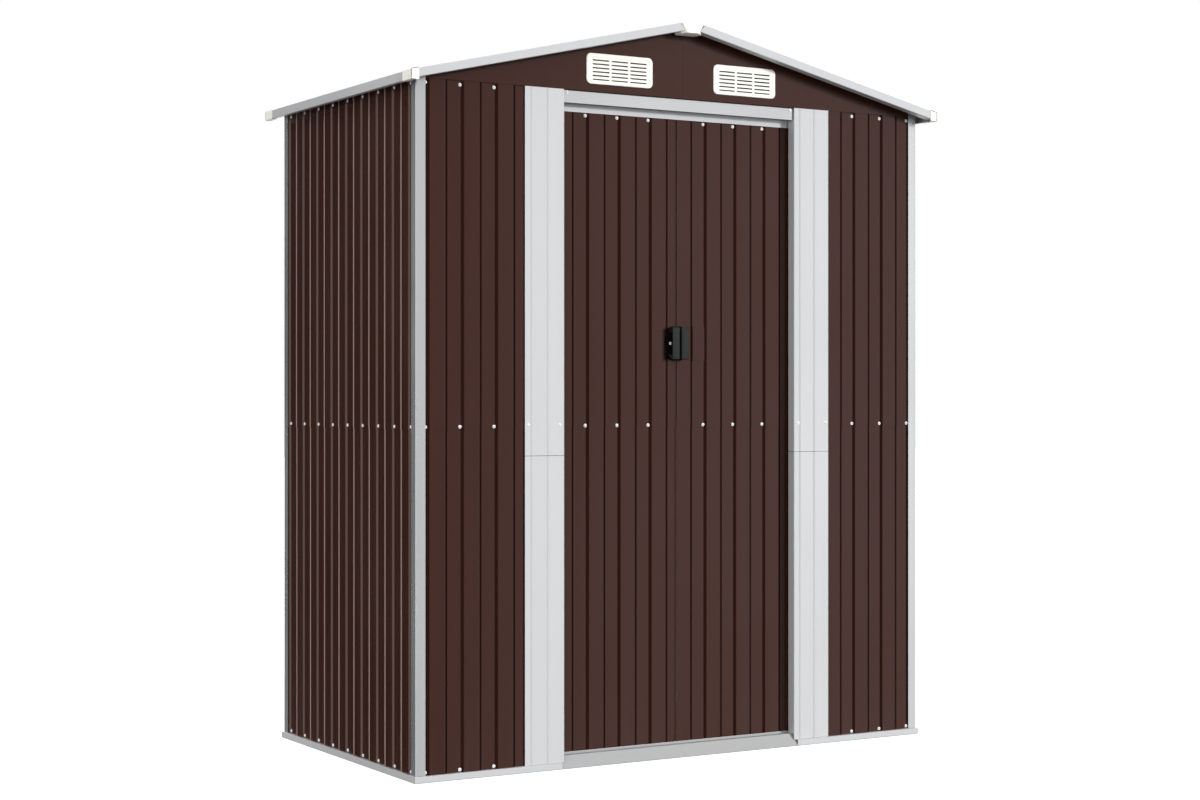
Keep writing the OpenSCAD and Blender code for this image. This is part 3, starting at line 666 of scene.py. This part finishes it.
# The guide behind it, whose fin stands in the leaves
rails_lo, rails_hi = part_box("left_door_rails")
LEAF_FRONT, LEAF_BACK = rails_lo.y + HALF_D, rails_hi.y + HALF_D
LEAF_Z, LEAF_TOP = rails_lo.z, rails_hi.z
track_h = LEAF_Z - TRACK_DROP
fin = (LEAF_FRONT + LEAF_BACK) / 2 - FRAME_T / 2
track = folded_section([(LEAF_BACK + TRACK_FOOT, 0), (TRACK_D, 0), (TRACK_D, track_h), (fin, track_h),
                        (fin, track_hi.z)], FRAME_T, FRAME_BEND / 2)
frame_piece("door_sill_track", [carried(track, FRONT, Y, Z, X, track_lo.x, track_hi.x)], ZINC)

# A lip on the ramp's edge, which stands up close in front of the leaves
lip_stand = LEAF_FRONT - LIP_GAP - FRAME_T
lip_half = DOOR_HALF - SEAT
sill_lip = folded_section([(heel + SEAT, RAMP_H), (lip_stand, RAMP_H), (lip_stand, LEAF_Z + LIP_OVER)], FRAME_T,
                          FRAME_BEND / 2)
piece("sill_lip", carried(sill_lip, FRONT, Y, Z, X, -lip_half, lip_half), ZINC, "shell")

# Door jambs: two lengths with beads, and a return that is notched over the ramp and under the header
HEADER_Z = WALL_H - HEADER_H


def jamb(x0, turned):
    """A jamb's face from x0 to the right with its beads, and its return on the doorway's side."""
    beads = np.stack([x0 + BEAD_AT - BEAD_W / 2, x0 + BEAD_AT, x0 + BEAD_AT + BEAD_W / 2], 1).ravel()
    rise = np.tile([0, -BEAD_H, 0], len(BEAD_AT))
    face = np.stack([np.concatenate([[x0], beads, [x0 + JAMB_W]]), np.concatenate([[0], rise, [0]])], 1)[::-1]
    if turned:
        path = np.concatenate([face, [[x0, JAMB_RETURN]]])
    else:
        path = np.concatenate([[[x0 + JAMB_W, JAMB_RETURN]], face])
    section = folded_section(path, FRAME_T, FRAME_BEND)
    inside = section[0][:, 1] > 2 * FRAME_T
    low = np.where(inside, RAMP_H + SEAT, BASE_H + SEAT)
    high = np.where(inside, HEADER_Z - SEAT, WALL_H - SEAT)
    return [carried(section, FRONT, X, Y, Z, low, JAMB_SEAM_Z - JAMB_SEAM_GAP),
            carried(section, FRONT, X, Y, Z, JAMB_SEAM_Z, high)]


frame_piece("left_jamb", jamb(-DOOR_HALF - JAMB_W, False), TRIM)
frame_piece("right_jamb", jamb(DOOR_HALF, True), TRIM)

# Door header: front face, top, rear web and lipped ledge
head_lo, head_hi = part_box("door_header")
head_back = head_hi.y + HALF_D
ledge_z = LEAF_TOP + LEDGE_OVER
ledge_end = LEAF_BACK + LEDGE_REACH
header = folded_section([(INNER_D, head_lo.z), (INNER_D, head_hi.z), (head_back, head_hi.z), (head_back, ledge_z),
                         (ledge_end, ledge_z), (ledge_end, ledge_z + LEDGE_LIP_H)], FRAME_T, FRAME_BEND)
frame_piece("door_header", [carried(header, FRONT, Y, Z, X, head_lo.x, head_hi.x)])

# Top and bottom rails of the leaves
top_rail = folded_section([(LEAF_FRONT, LEAF_TOP - TOP_RAIL_H), (LEAF_FRONT, LEAF_TOP), (LEAF_BACK, LEAF_TOP),
                           (LEAF_BACK, LEAF_TOP - TOP_RAIL_H)], FRAME_T, FRAME_BEND)
bottom_rail = folded_section([(LEAF_BACK, LEAF_Z + BOTTOM_RAIL_H), (LEAF_BACK, LEAF_Z), (LEAF_FRONT, LEAF_Z),
                              (LEAF_FRONT, LEAF_Z + BOTTOM_LIP_H)], FRAME_T, FRAME_BEND)
for door in DOORS:
    lo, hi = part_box(door + "_rails")
    rails = [carried(rail, FRONT, Y, Z, X, lo.x, hi.x) for rail in (top_rail, bottom_rail)]
    frame_piece(door + "_rails", rails, TRIM, body=door)

# Trims along the roof's edges, and the ridge cap
RAKE_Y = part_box("rake_trims")[1].y
eave_lo, eave_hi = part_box("eave_trims")
EAVE_X = eave_hi.x
EAVE_Z = eave_lo.z + EAVE_H
apex = EAVE_Z + EAVE_X * FALL - (SEAT + TRIM_T) / SLANT
lip = -SEAT - TRIM_T
rake = folded_section([(-RAKE_RETURN, lip + RAKE_H), (0, lip + RAKE_H), (0, lip), (-TRIM_FLANGE, lip)], TRIM_T,
                      TRIM_BEND)
rake_start = RAKE_START - RAKE_SLANT * rake[0][:, 1]
rake_stop = (EAVE_X - RAKE_COVER) / SLANT
rakes = []
for x, y in CORNERS:
    down, out = slope_axes(x)
    rakes.append(carried(rake, (0, y * RAKE_Y, apex), y * Y, -out, down, rake_start, rake_stop))
frame_piece("rake_trims", rakes, TRIM)

eave = folded_section([(EAVE_X - TRIM_FLANGE, EAVE_Z + TRIM_FLANGE * FALL), (EAVE_X, EAVE_Z),
                       (EAVE_X, EAVE_Z - EAVE_H), (EAVE_X - EAVE_RETURN, EAVE_Z - EAVE_H)], TRIM_T, TRIM_BEND)
eaves = [carried(eave, (0, 0, 0), x * X, Z, Y, eave_lo.y, eave_hi.y) for x in (-1, 1)]
frame_piece("eave_trims", eaves, TRIM)

ridge_lo, ridge_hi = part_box("ridge_cap")
ridge = folded_section([(ridge_lo.x, ridge_hi.z + ridge_lo.x * FALL), (0, ridge_hi.z),
                        (ridge_hi.x, ridge_hi.z - ridge_hi.x * FALL)], TRIM_T, 3 * TRIM_BEND)
frame_piece("ridge_cap", [carried(ridge, (0, 0, 0), X, Z, Y, ridge_lo.y, ridge_hi.y)], BROWN)

# Corner caps: a sleeve over the eave trim's end and a plate over the sloping trim's end
CAP_T = 1.5 * MM
CAP_BEND = 2.4 * MM
CAP_LEN = 57 * MM
CAP_W = 25 * MM
CAP_RETURN = 16 * MM
CAP_LIFT = (SEAT + CAP_T) / SLANT
cap_x = EAVE_X + SEAT + CAP_T
cap_z = EAVE_Z + CAP_LIFT - (SEAT + CAP_T) * FALL
cap_low = EAVE_Z - EAVE_H - SEAT - CAP_T
cap_end = RAKE_Y + SEAT + CAP_T
cap_path = [(cap_x - CAP_W, cap_z + CAP_W * FALL), (cap_x, cap_z), (cap_x, cap_low), (cap_x - CAP_RETURN, cap_low)]
sleeve = folded_section(cap_path, CAP_T, CAP_BEND)
end_plate = plate_section(cap_path + [(cap_x - CAP_W, cap_low + (CAP_W - CAP_RETURN) * FALL)], CAP_BEND)
caps = []
for x, y in CORNERS:
    for section, length in ((sleeve, CAP_LEN), (end_plate, CAP_T)):
        caps.append(carried(section, (0, y * cap_end, 0), x * X, Z, -y * Y, 0, length))
frame_piece("roof_corner_caps", caps, CREAM)

# Ridge end caps: a hood over the trims' ends, with a tapered front and bevelled cheeks
HOOD_TAPER = 16 * MM
HOOD_DROP = 31 * MM
# Distance behind the front and half the width at the roof of each ring of the hood
HOOD_RING = np.array([(0, 36.8), (1.2, 38), (12, 50), (46, 50)]) * MM
hood_z = apex + (SEAT + TRIM_T) / SLANT + CAP_LIFT
hood = []
for behind, half in HOOD_RING:
    edge = hood_z - half * FALL
    outline, _ = plate_section([(-half, edge), (0, hood_z), (half, edge), (half - HOOD_TAPER, edge - HOOD_DROP),
                                (HOOD_TAPER - half, edge - HOOD_DROP)], CAP_BEND)
    hood.append(np.column_stack([outline[:, 0], np.full(len(outline), cap_end - behind), outline[:, 1]]))
hood_points, hood_faces = loft(np.array(hood))
hoods = [(hood_points * np.array([1, y, 1]), hood_faces) for y in (-1, 1)]
moulded("ridge_end_caps_moulded", hoods, CREAM, "shell", ["ridge_end_caps"])

# Gable vents
VENT_W = 230 * MM
VENT_ROUND = 15 * MM
VENT_ROWS = 6
VENT_COLS = 3
SLOT_SIDE = 21 * MM
SLOT_FOOT = 13.5 * MM
SLOT_HEAD = 20 * MM
SLOT_GAP = 7.5 * MM
SLOT_SHARE = 0.38
SLOT_LEAN = math.tan(math.radians(25))
FIELD_INSET = 11 * MM
# Inset and height of each ring of a vent's rim
VENT_RIM = np.array([(0, 0), (0, 1.8), (0.4, 2.5), (1.2, 3.0), (6, 3.2), (10.6, 3.0), (11.4, 2.5), (11.8, 1.8),
                     (11.8, 0)]) * MM
# Heights of the field's front and back
VENT_FIELD = (2.2 * MM, 0.4 * MM)


def rounded_rectangle(w, h, radius, steps=6):
    """A rectangle about the origin whose corners are arcs of a quarter turn."""
    angle = np.linspace(0, math.pi / 2, steps + 1) + np.arange(4)[:, None] * math.pi / 2
    centre = np.array([(1, 1), (-1, 1), (-1, -1), (1, -1)]) * (np.array([w, h]) / 2 - radius)
    return (centre[:, None] + radius * np.stack([np.cos(angle), np.sin(angle)], -1)).reshape(-1, 2)


def slotted_plate(u, v, front, back, lean):
    """A plate on a grid of lines, open where column and row are both odd. A point is (u, v, height), on the
    front and on the back, and the rows' lines move by the lean times the height, apart from the outer two."""
    inner = np.ones(len(v))
    inner[[0, -1]] = 0
    height = np.array([front, back])[:, None, None]
    middle = (front + back) / 2
    grid = np.zeros((2, len(u), len(v), 3))
    grid[..., 0] = u[:, None]
    grid[..., 1] = v - lean * (height - middle) * inner
    grid[..., 2] = height
    at = np.arange(grid[..., 0].size).reshape(grid.shape[:3])
    cell = np.stack([at[:, :-1, :-1], at[:, 1:, :-1], at[:, 1:, 1:], at[:, :-1, 1:]], -1)
    slot = (np.arange(len(u) - 1)[:, None] % 2 == 1) & (np.arange(len(v) - 1) % 2 == 1)
    faces = [cell[0][~slot], cell[1][~slot][:, ::-1]]
    rims = np.moveaxis(cell[:, slot], 0, 1)
    for k in range(4):
        a, b = rims[:, :, k], rims[:, :, (k + 1) % 4]
        faces.append(np.stack([a[:, 0], a[:, 1], b[:, 1], b[:, 0]], -1))
    for edge in (at[:, 0], at[:, -1], at[:, :, 0], at[:, :, -1]):
        faces.append(np.stack([edge[0, :-1], edge[0, 1:], edge[1, 1:], edge[1, :-1]], -1))
    return grid.reshape(-1, 3), np.concatenate(faces).tolist()


vent_lo, vent_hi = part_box("gable_vents")
vent_h = vent_hi.z - vent_lo.z
row_step = (vent_h - SLOT_FOOT - SLOT_HEAD) / (VENT_ROWS - 1)
slot_w = (VENT_W - 2 * SLOT_SIDE - (VENT_COLS - 1) * SLOT_GAP) / VENT_COLS
columns = SLOT_SIDE - VENT_W / 2 + np.arange(VENT_COLS)[:, None] * (slot_w + SLOT_GAP) + np.array([0, slot_w])
rows = SLOT_FOOT - vent_h / 2 + (np.arange(VENT_ROWS)[:, None] + np.array([-0.5, 0.5]) * SLOT_SHARE) * row_step
field = np.array([VENT_W, vent_h]) / 2 - FIELD_INSET
lines = [np.concatenate([[-half], cuts.ravel(), [half]]) for half, cuts in zip(field, (columns, rows))]
rim = []
for inset, height in VENT_RIM:
    outline = rounded_rectangle(VENT_W - 2 * inset, vent_h - 2 * inset, max(VENT_ROUND - inset, MM))
    rim.append(np.column_stack([outline, np.full(len(outline), height)]))
vent_shapes = [loft(np.array(rim), closed=True), slotted_plate(*lines, *VENT_FIELD, SLOT_LEAN)]
vents = []
for x, y in CORNERS:
    centre = np.array([x * (vent_hi.x - VENT_W / 2), y * HALF_D, (vent_lo.z + vent_hi.z) / 2])
    axes = np.array([-y * X, Z, y * Y])
    vents += [(centre + points @ axes, faces) for points, faces in vent_shapes]
moulded("gable_vents_moulded", vents, CREAM, "shell", ["gable_vents"])

# Handles: a plate with a round outer edge and a hollow pull that is open away from the gap
HANDLE_GAP = 4 * MM
HANDLE_W = 38 * MM
HANDLE_BULGE = 0.7
PLATE_T = 3 * MM
PULL_FOOT = 35 * MM
PULL_REACH = 27 * MM
PULL_ROUND = 4 * MM
PULL_STEPS = 5
PLATE_STEPS = 33
# Distance from the gap's side and inset of each ring of the pull, from its closed side round its rim to its inside
PULL_RING = np.array([(0, 1.6), (0.4, 0.6), (1.4, 0), (24.0, 0), (24.7, 0.4), (25, 1.2), (25, 2.0), (24.7, 2.8),
                      (24.0, 3.2), (3.4, 3.2)]) * MM
# Height and inset of each ring of the plate
PLATE_RING = np.array([(0, 0), (2.2, 0), (2.8, 0.4), (3, 1.2)]) * MM


def handle_shapes(door, way):
    """The plate is a bulged half circle, whose width is the cosine to a power, lofted through its thickness. The
    pull is a side view, wider at its front than at its foot, lofted from its closed side to its rim and back
    inside."""
    lo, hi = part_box(door + "_handle")
    base = np.array([0, lo.y + PULL_REACH, (lo.z + hi.z) / 2])
    tall = (hi.z - lo.z) / 2
    angle = np.linspace(-math.pi / 2, math.pi / 2, PLATE_STEPS)
    plate = []
    for height, inset in PLATE_RING:
        across = HANDLE_GAP + inset + (HANDLE_W - 2 * inset) * np.abs(np.cos(angle)) ** HANDLE_BULGE
        up = (tall - inset) * np.sin(angle)
        plate.append(base + np.outer(across * way, X) + np.outer(up, Z) - height * Y)
    pull = []
    for across, inset in PULL_RING:
        head, foot, out = tall - inset, PULL_FOOT - inset, PULL_REACH - inset
        corners = [(PLATE_T / 2, -foot), (out, -head), (out, head), (PLATE_T / 2, foot)]
        side, _ = round_path(corners, PULL_ROUND, PULL_STEPS)
        pull.append(base + (HANDLE_GAP + across) * way * X - np.outer(side[:, 0], Y) + np.outer(side[:, 1], Z))
    return [loft(np.array(plate)), loft(np.array(pull))]


# Each handle's plate is near-black as painted shade inside its pull's hollow
for door, way in zip(DOORS, (-1, 1)):
    plate, pull = handle_shapes(door, way)
    moulded(door + "_handle_plate", [plate], HOLLOW_SHADE_BLACK, door)
    moulded(door + "_handle_pull", [pull], BLACK, door, [door + "_handle"])

# A folded brown strip that fills the gap, fixed to the back of the left leaf
STRIP_REACH = 2.8 * MM
STRIP_FOOT = 30 * MM
STRIP_STEP = 2.5 * MM
STRIP_BEND = 1 * MM
STRIP_EDGE = 0.4 * MM
STRIP_CLEAR = 0.1 * MM
STRIP_END = 1 * MM
_, leaf_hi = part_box("left_door_sheets")
strip_edge = leaf_hi.x + STRIP_EDGE
strip_low, strip_high = LEAF_Z + BOTTOM_LIP_H + STRIP_END, LEAF_TOP - TOP_RAIL_H - STRIP_END
strip = folded_section([(STRIP_REACH, -STRIP_STEP), (strip_edge, -STRIP_STEP), (strip_edge, 0), (-STRIP_FOOT, 0)],
                       SHEET_T, STRIP_BEND)
strip_shape = carried(strip, (0, leaf_hi.y + STRIP_CLEAR, strip_low), X, Y, Z, 0, strip_high - strip_low)
piece("meeting_strip", strip_shape, BROWN, "left_door")

# Tongues that carry the left leaf's rails on across the gap
TONGUE_SET = 0.3 * MM
tongue = folded_section([(STRIP_REACH, 0), (leaf_hi.x + STRIP_CLEAR, 0)], FRAME_T, FRAME_BEND)
tongues = [carried(tongue, (0, LEAF_FRONT + TONGUE_SET - HALF_D, z), X, Y, Z, 0, tall)
           for z, tall in ((LEAF_Z, BOTTOM_LIP_H), (LEAF_TOP - TOP_RAIL_H, TOP_RAIL_H))]
piece("rail_tongues", joined(tongues), TRIM, "left_door")


# Screws

# A washer and a low head: radius and height of each ring
SCREW_RING = np.array([(5.2, 0.0), (5.2, 0.7), (4.0, 1.0), (3.7, 2.0), (2.6, 2.9)]) * MM
SCREW_SIDES = 10
SCREW_SHARP = math.radians(50)
# Distance from a slope, and least distance from a sheet's end
SCREW_BESIDE = 3.5 * MM
SCREW_EDGE = 8 * MM
# Distances of the rows from the base rail's edge, the lap, the top of a wall and a leaf's top rail
BASE_ROW = 18 * MM
LAP_ROW = 9 * MM
TOP_ROW = 12 * MM
RAIL_ROW = 8 * MM
# Distances from the doorway's edge and above the lap, from the header's end and below its top, and of the handle's
# screw from the gap
JAMB_SCREWS = np.array([16, 121]) * MM
JAMB_ROW = 12 * MM
HEADER_SCREW = 11 * MM
HEADER_ROW = 9 * MM
HANDLE_SCREW = 23 * MM
# Distances of the roof's rows down the slope
ROOF_ROWS = np.array([110, 470, 900]) * MM


def screw_heads(name, places, out, body, side=Z):
    """Screw heads on a plane: each ring is a circle of its radius about the place, at its height along the
    way out, and the first and last ring are closed by flat faces. A map of the ring's own plane, in millimetres,
    holds the cross recess."""
    places = np.asarray(places, float).reshape(-1, 3)
    other = np.cross(out, side)
    angle = np.arange(SCREW_SIDES) * 2 * math.pi / SCREW_SIDES
    circle = np.cos(angle)[:, None] * side + np.sin(angle)[:, None] * other
    radius, height = SCREW_RING[:, 0], SCREW_RING[:, 1]
    head = radius[:, None, None] * circle + height[:, None, None] * out
    points = (places[:, None] + head.reshape(1, -1, 3)).reshape(-1, 3)
    rings = np.arange(len(SCREW_RING) - 1)[:, None] * SCREW_SIDES
    i = np.arange(SCREW_SIDES)
    j = (i + 1) % SCREW_SIDES
    quads = np.stack([rings + i, rings + j, rings + j + SCREW_SIDES, rings + i + SCREW_SIDES], -1).reshape(-1, 4)
    ends = np.stack([(len(SCREW_RING) - 1) * SCREW_SIDES + i, i[::-1]])
    if np.dot(np.cross(circle[0], circle[1]), out) < 0:
        quads, ends = quads[:, ::-1], ends[:, ::-1]
    shift = np.arange(len(places))[:, None, None] * len(SCREW_RING) * SCREW_SIDES
    faces = (quads + shift).reshape(-1, 4).tolist() + (ends + shift).reshape(-1, SCREW_SIDES).tolist()
    mesh = bpy.data.meshes.new(name)
    mesh.from_pydata(points.tolist(), [], faces)
    flat = (radius[:, None, None] * np.stack([np.cos(angle), np.sin(angle)], -1)).reshape(-1, 2) / MM
    at = np.empty(len(mesh.loops), np.int32)
    mesh.loops.foreach_get("vertex_index", at)
    mesh.uv_layers.new(name="recess").data.foreach_set("uv", flat[at % len(flat)].ravel())
    mesh.polygons.foreach_set("use_smooth", np.ones(len(faces), bool))
    mesh.set_sharp_from_angle(angle=SCREW_SHARP)
    return placed(name, mesh, SCREW, body)


def valley_screws(width, first, beside):
    """Distances along a sheet of the screws: one in each valley, beside a slope and clear of the sheet's ends."""
    u = first + beside + np.arange(-1, int(width / RIB_PITCH) + 2) * RIB_PITCH
    return u[(u > SCREW_EDGE) & (u < width - SCREW_EDGE)]


# Rows in the walls: through the base rail, through the lap and at the top
BEFORE_CREST = -SLOPE_W - SCREW_BESIDE
AFTER_CREST = CREST_W + SLOPE_W + SCREW_BESIDE
for part, wall in WALLS:
    places = []
    for length, z in (("lower", BASE_UP - BASE_ROW), ("upper", SEAM_Z + LAP_ROW), ("upper", WALL_H - TOP_ROW)):
        origin, across, deep, width, tall = wall_axes(f"{part}_{length}", wall)
        u = valley_screws(width, FIRST_RIB[part], AFTER_CREST if wall in ("left", "right") else BEFORE_CREST)
        origin[2] = z
        places.append(origin + RIB_DEPTH * deep + u[:, None] * across)
    screw_heads(part + "_screws", np.concatenate(places), -deep, "shell")

# Rows in the leaves: through the lap and under the top rail
for door in DOORS:
    lo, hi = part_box(door + "_sheets")
    u = valley_screws(hi.x - lo.x, FIRST_RIB[door], BEFORE_CREST)
    places = [np.array([lo.x, lo.y + RIB_DEPTH, z]) + u[:, None] * X
              for z in (SEAM_Z + LAP_ROW, LEAF_TOP - TOP_RAIL_H - RAIL_ROW)]
    screw_heads(door + "_screws", np.concatenate(places), -Y, door)

# Jambs, header ends and the left handle
jamb_screws = [(x * (DOOR_HALF + d), -HALF_D, SEAM_Z + JAMB_ROW) for x in (-1, 1) for d in JAMB_SCREWS]
screw_heads("jamb_screws", jamb_screws, -Y, "shell")
header_screws = [(x * (DOOR_HALF - HEADER_SCREW), -HALF_D + INNER_D, WALL_H - HEADER_ROW) for x in (-1, 1)]
screw_heads("header_screws", header_screws, -Y, "shell")
handle_lo, handle_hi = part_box("left_door_handle")
handle_screw = (-HANDLE_SCREW, handle_lo.y + PULL_REACH - PLATE_T, (handle_lo.z + handle_hi.z) / 2)
screw_heads("handle_screw", [handle_screw], -Y, "left_door")

# Rows through the roof sheets
for side, way in SIDES:
    lo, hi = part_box("roof_sheet_" + side)
    down, out = slope_axes(way)
    u = valley_screws(hi.y - lo.y, FIRST_RIB["roof"], BEFORE_CREST)
    top = np.array([0, hi.y, apex])
    places = top + ROOF_ROWS[:, None, None] * down - u[:, None] * Y - RIB_DEPTH * out
    screw_heads(f"roof_{side}_screws", places, out, "shell", Y)


# Stage

FLOOR_HALF = 30.0
FLOOR_GLOW = 0.80


def floor_paint():
    """Pale grey with a slight mottle. Outside the walls it glows for the camera, so that it runs into the
    backdrop."""
    material, tree, shader, coords = new_material("pale_floor")
    mottle = noise(tree, coords, EVEN, scale=0.8, detail=3.0)
    tree.links.new(blend(tree, mottle, (0.62, 0.62, 0.62, 1), (0.66, 0.66, 0.66, 1)), shader.inputs["Base Color"])
    shader.inputs["Roughness"].default_value = 0.9
    shader.inputs["Specular IOR Level"].default_value = 0.0
    shader.inputs["Emission Color"].default_value = (1, 1, 1, 1)
    flat = add(tree, "SeparateXYZ", {0: coords})
    beyond = [calc(tree, "GREATER_THAN", calc(tree, "ABSOLUTE", flat.outputs[k]), half)
              for k, half in ((0, HALF_W), (1, HALF_D))]
    glow = calc(tree, "MULTIPLY", add(tree, "LightPath").outputs["Is Camera Ray"], FLOOR_GLOW)
    glow = calc(tree, "MULTIPLY", glow, calc(tree, "MAXIMUM", *beyond))
    tree.links.new(glow, shader.inputs["Emission Strength"])
    return material


floor_mesh = bpy.data.meshes.new("floor")
floor_mesh.from_pydata([(-FLOOR_HALF, -FLOOR_HALF, 0), (FLOOR_HALF, -FLOOR_HALF, 0), (FLOOR_HALF, FLOOR_HALF, 0),
                        (-FLOOR_HALF, FLOOR_HALF, 0)], [], [(0, 1, 2, 3)])
floor_mesh.materials.append(floor_paint())
floor = bpy.data.objects.new("floor", floor_mesh)
bpy.context.collection.objects.link(floor)
floor.visible_glossy = False
floor.visible_diffuse = False

# Studio walls: how bright they are by azimuth, counted from the front towards the right, in degrees
STUDIO = ((-180, 1.6), (-174, 1.6), (-169, 0.02), (-146, 0.02), (-134, 0.35), (-124, 1.5), (-60, 1.5), (-40, 0.95),
          (-25, 0.54), (-8, 0.54), (10, 0.33), (23, 0.28), (26, 0.46), (27.5, 0.66), (29, 1.14), (33, 1.25), (45, 1.20),
          (54, 0.45), (64, 0.15), (95, 0.20), (112, 1.6), (180, 1.6))
STUDIO_POWER = max(bright for _, bright in STUDIO)
# Below the horizon the walls fade to a share, between two heights of a ray's way
FADE_HEIGHTS = (-0.45, -0.18)
FADE_SHARE = 0.3


def studio():
    """A ring of studio walls as light, with a white backdrop for the camera."""
    world = bpy.data.worlds.new("studio")
    world.use_nodes = True
    tree = world.node_tree
    tree.nodes.clear()
    way = add(tree, "SeparateXYZ", {0: add(tree, "TexCoord").outputs["Generated"]})
    azimuth = calc(tree, "ARCTAN2", way.outputs[0], calc(tree, "MULTIPLY", way.outputs[1], -1.0))
    ring = add(tree, "ValToRGB", {0: spread(tree, azimuth, (-math.pi, math.pi))})
    stops = ring.color_ramp.elements
    while len(stops) < len(STUDIO):
        stops.new(0.5)
    for stop, (degrees, bright) in zip(stops, STUDIO):
        stop.position = degrees / 360 + 0.5
        stop.color = (*[bright / STUDIO_POWER] * 3, 1)
    power = calc(tree, "MULTIPLY", spread(tree, way.outputs[2], FADE_HEIGHTS, (FADE_SHARE, 1.0)), STUDIO_POWER)
    fill = add(tree, "Background", {"Color": ring.outputs[0], "Strength": power}).outputs[0]
    seen = add(tree, "Background", {"Color": (1, 1, 1, 1), "Strength": 1.0}).outputs[0]
    mixed = add(tree, "MixShader", {0: add(tree, "LightPath").outputs["Is Camera Ray"], 1: fill, 2: seen}).outputs[0]
    add(tree, "OutputWorld", {0: mixed})
    return world


def soft_sun(name, azimuth, elevation, softness, strength):
    """An even light from far away, in degrees: its azimuth is counted from the front towards the right."""
    light = bpy.data.lights.new(name, "SUN")
    light.angle = math.radians(softness)
    light.energy = strength
    obj = bpy.data.objects.new(name, light)
    bpy.context.collection.objects.link(obj)
    obj.rotation_euler = (math.radians(90 - elevation), 0, math.radians(azimuth))
    return obj


bpy.context.scene.world = studio()
key_light = soft_sun("key_light", azimuth=38, elevation=13, softness=7, strength=2.8)
key_light.visible_glossy = False

camera_data = bpy.data.cameras.new("camera")
camera_data.sensor_width = 36
camera_data.lens = 65.30
camera_data.shift_y = -0.0041
camera = bpy.data.objects.new("camera", camera_data)
camera.location = (-3.5807, -6.0469, 1.0998)
camera.rotation_euler = (math.radians(90), 0, math.radians(-30.59))
bpy.context.collection.objects.link(camera)
bpy.context.scene.camera = camera
bpy.context.scene.view_settings.view_transform = "Standard"
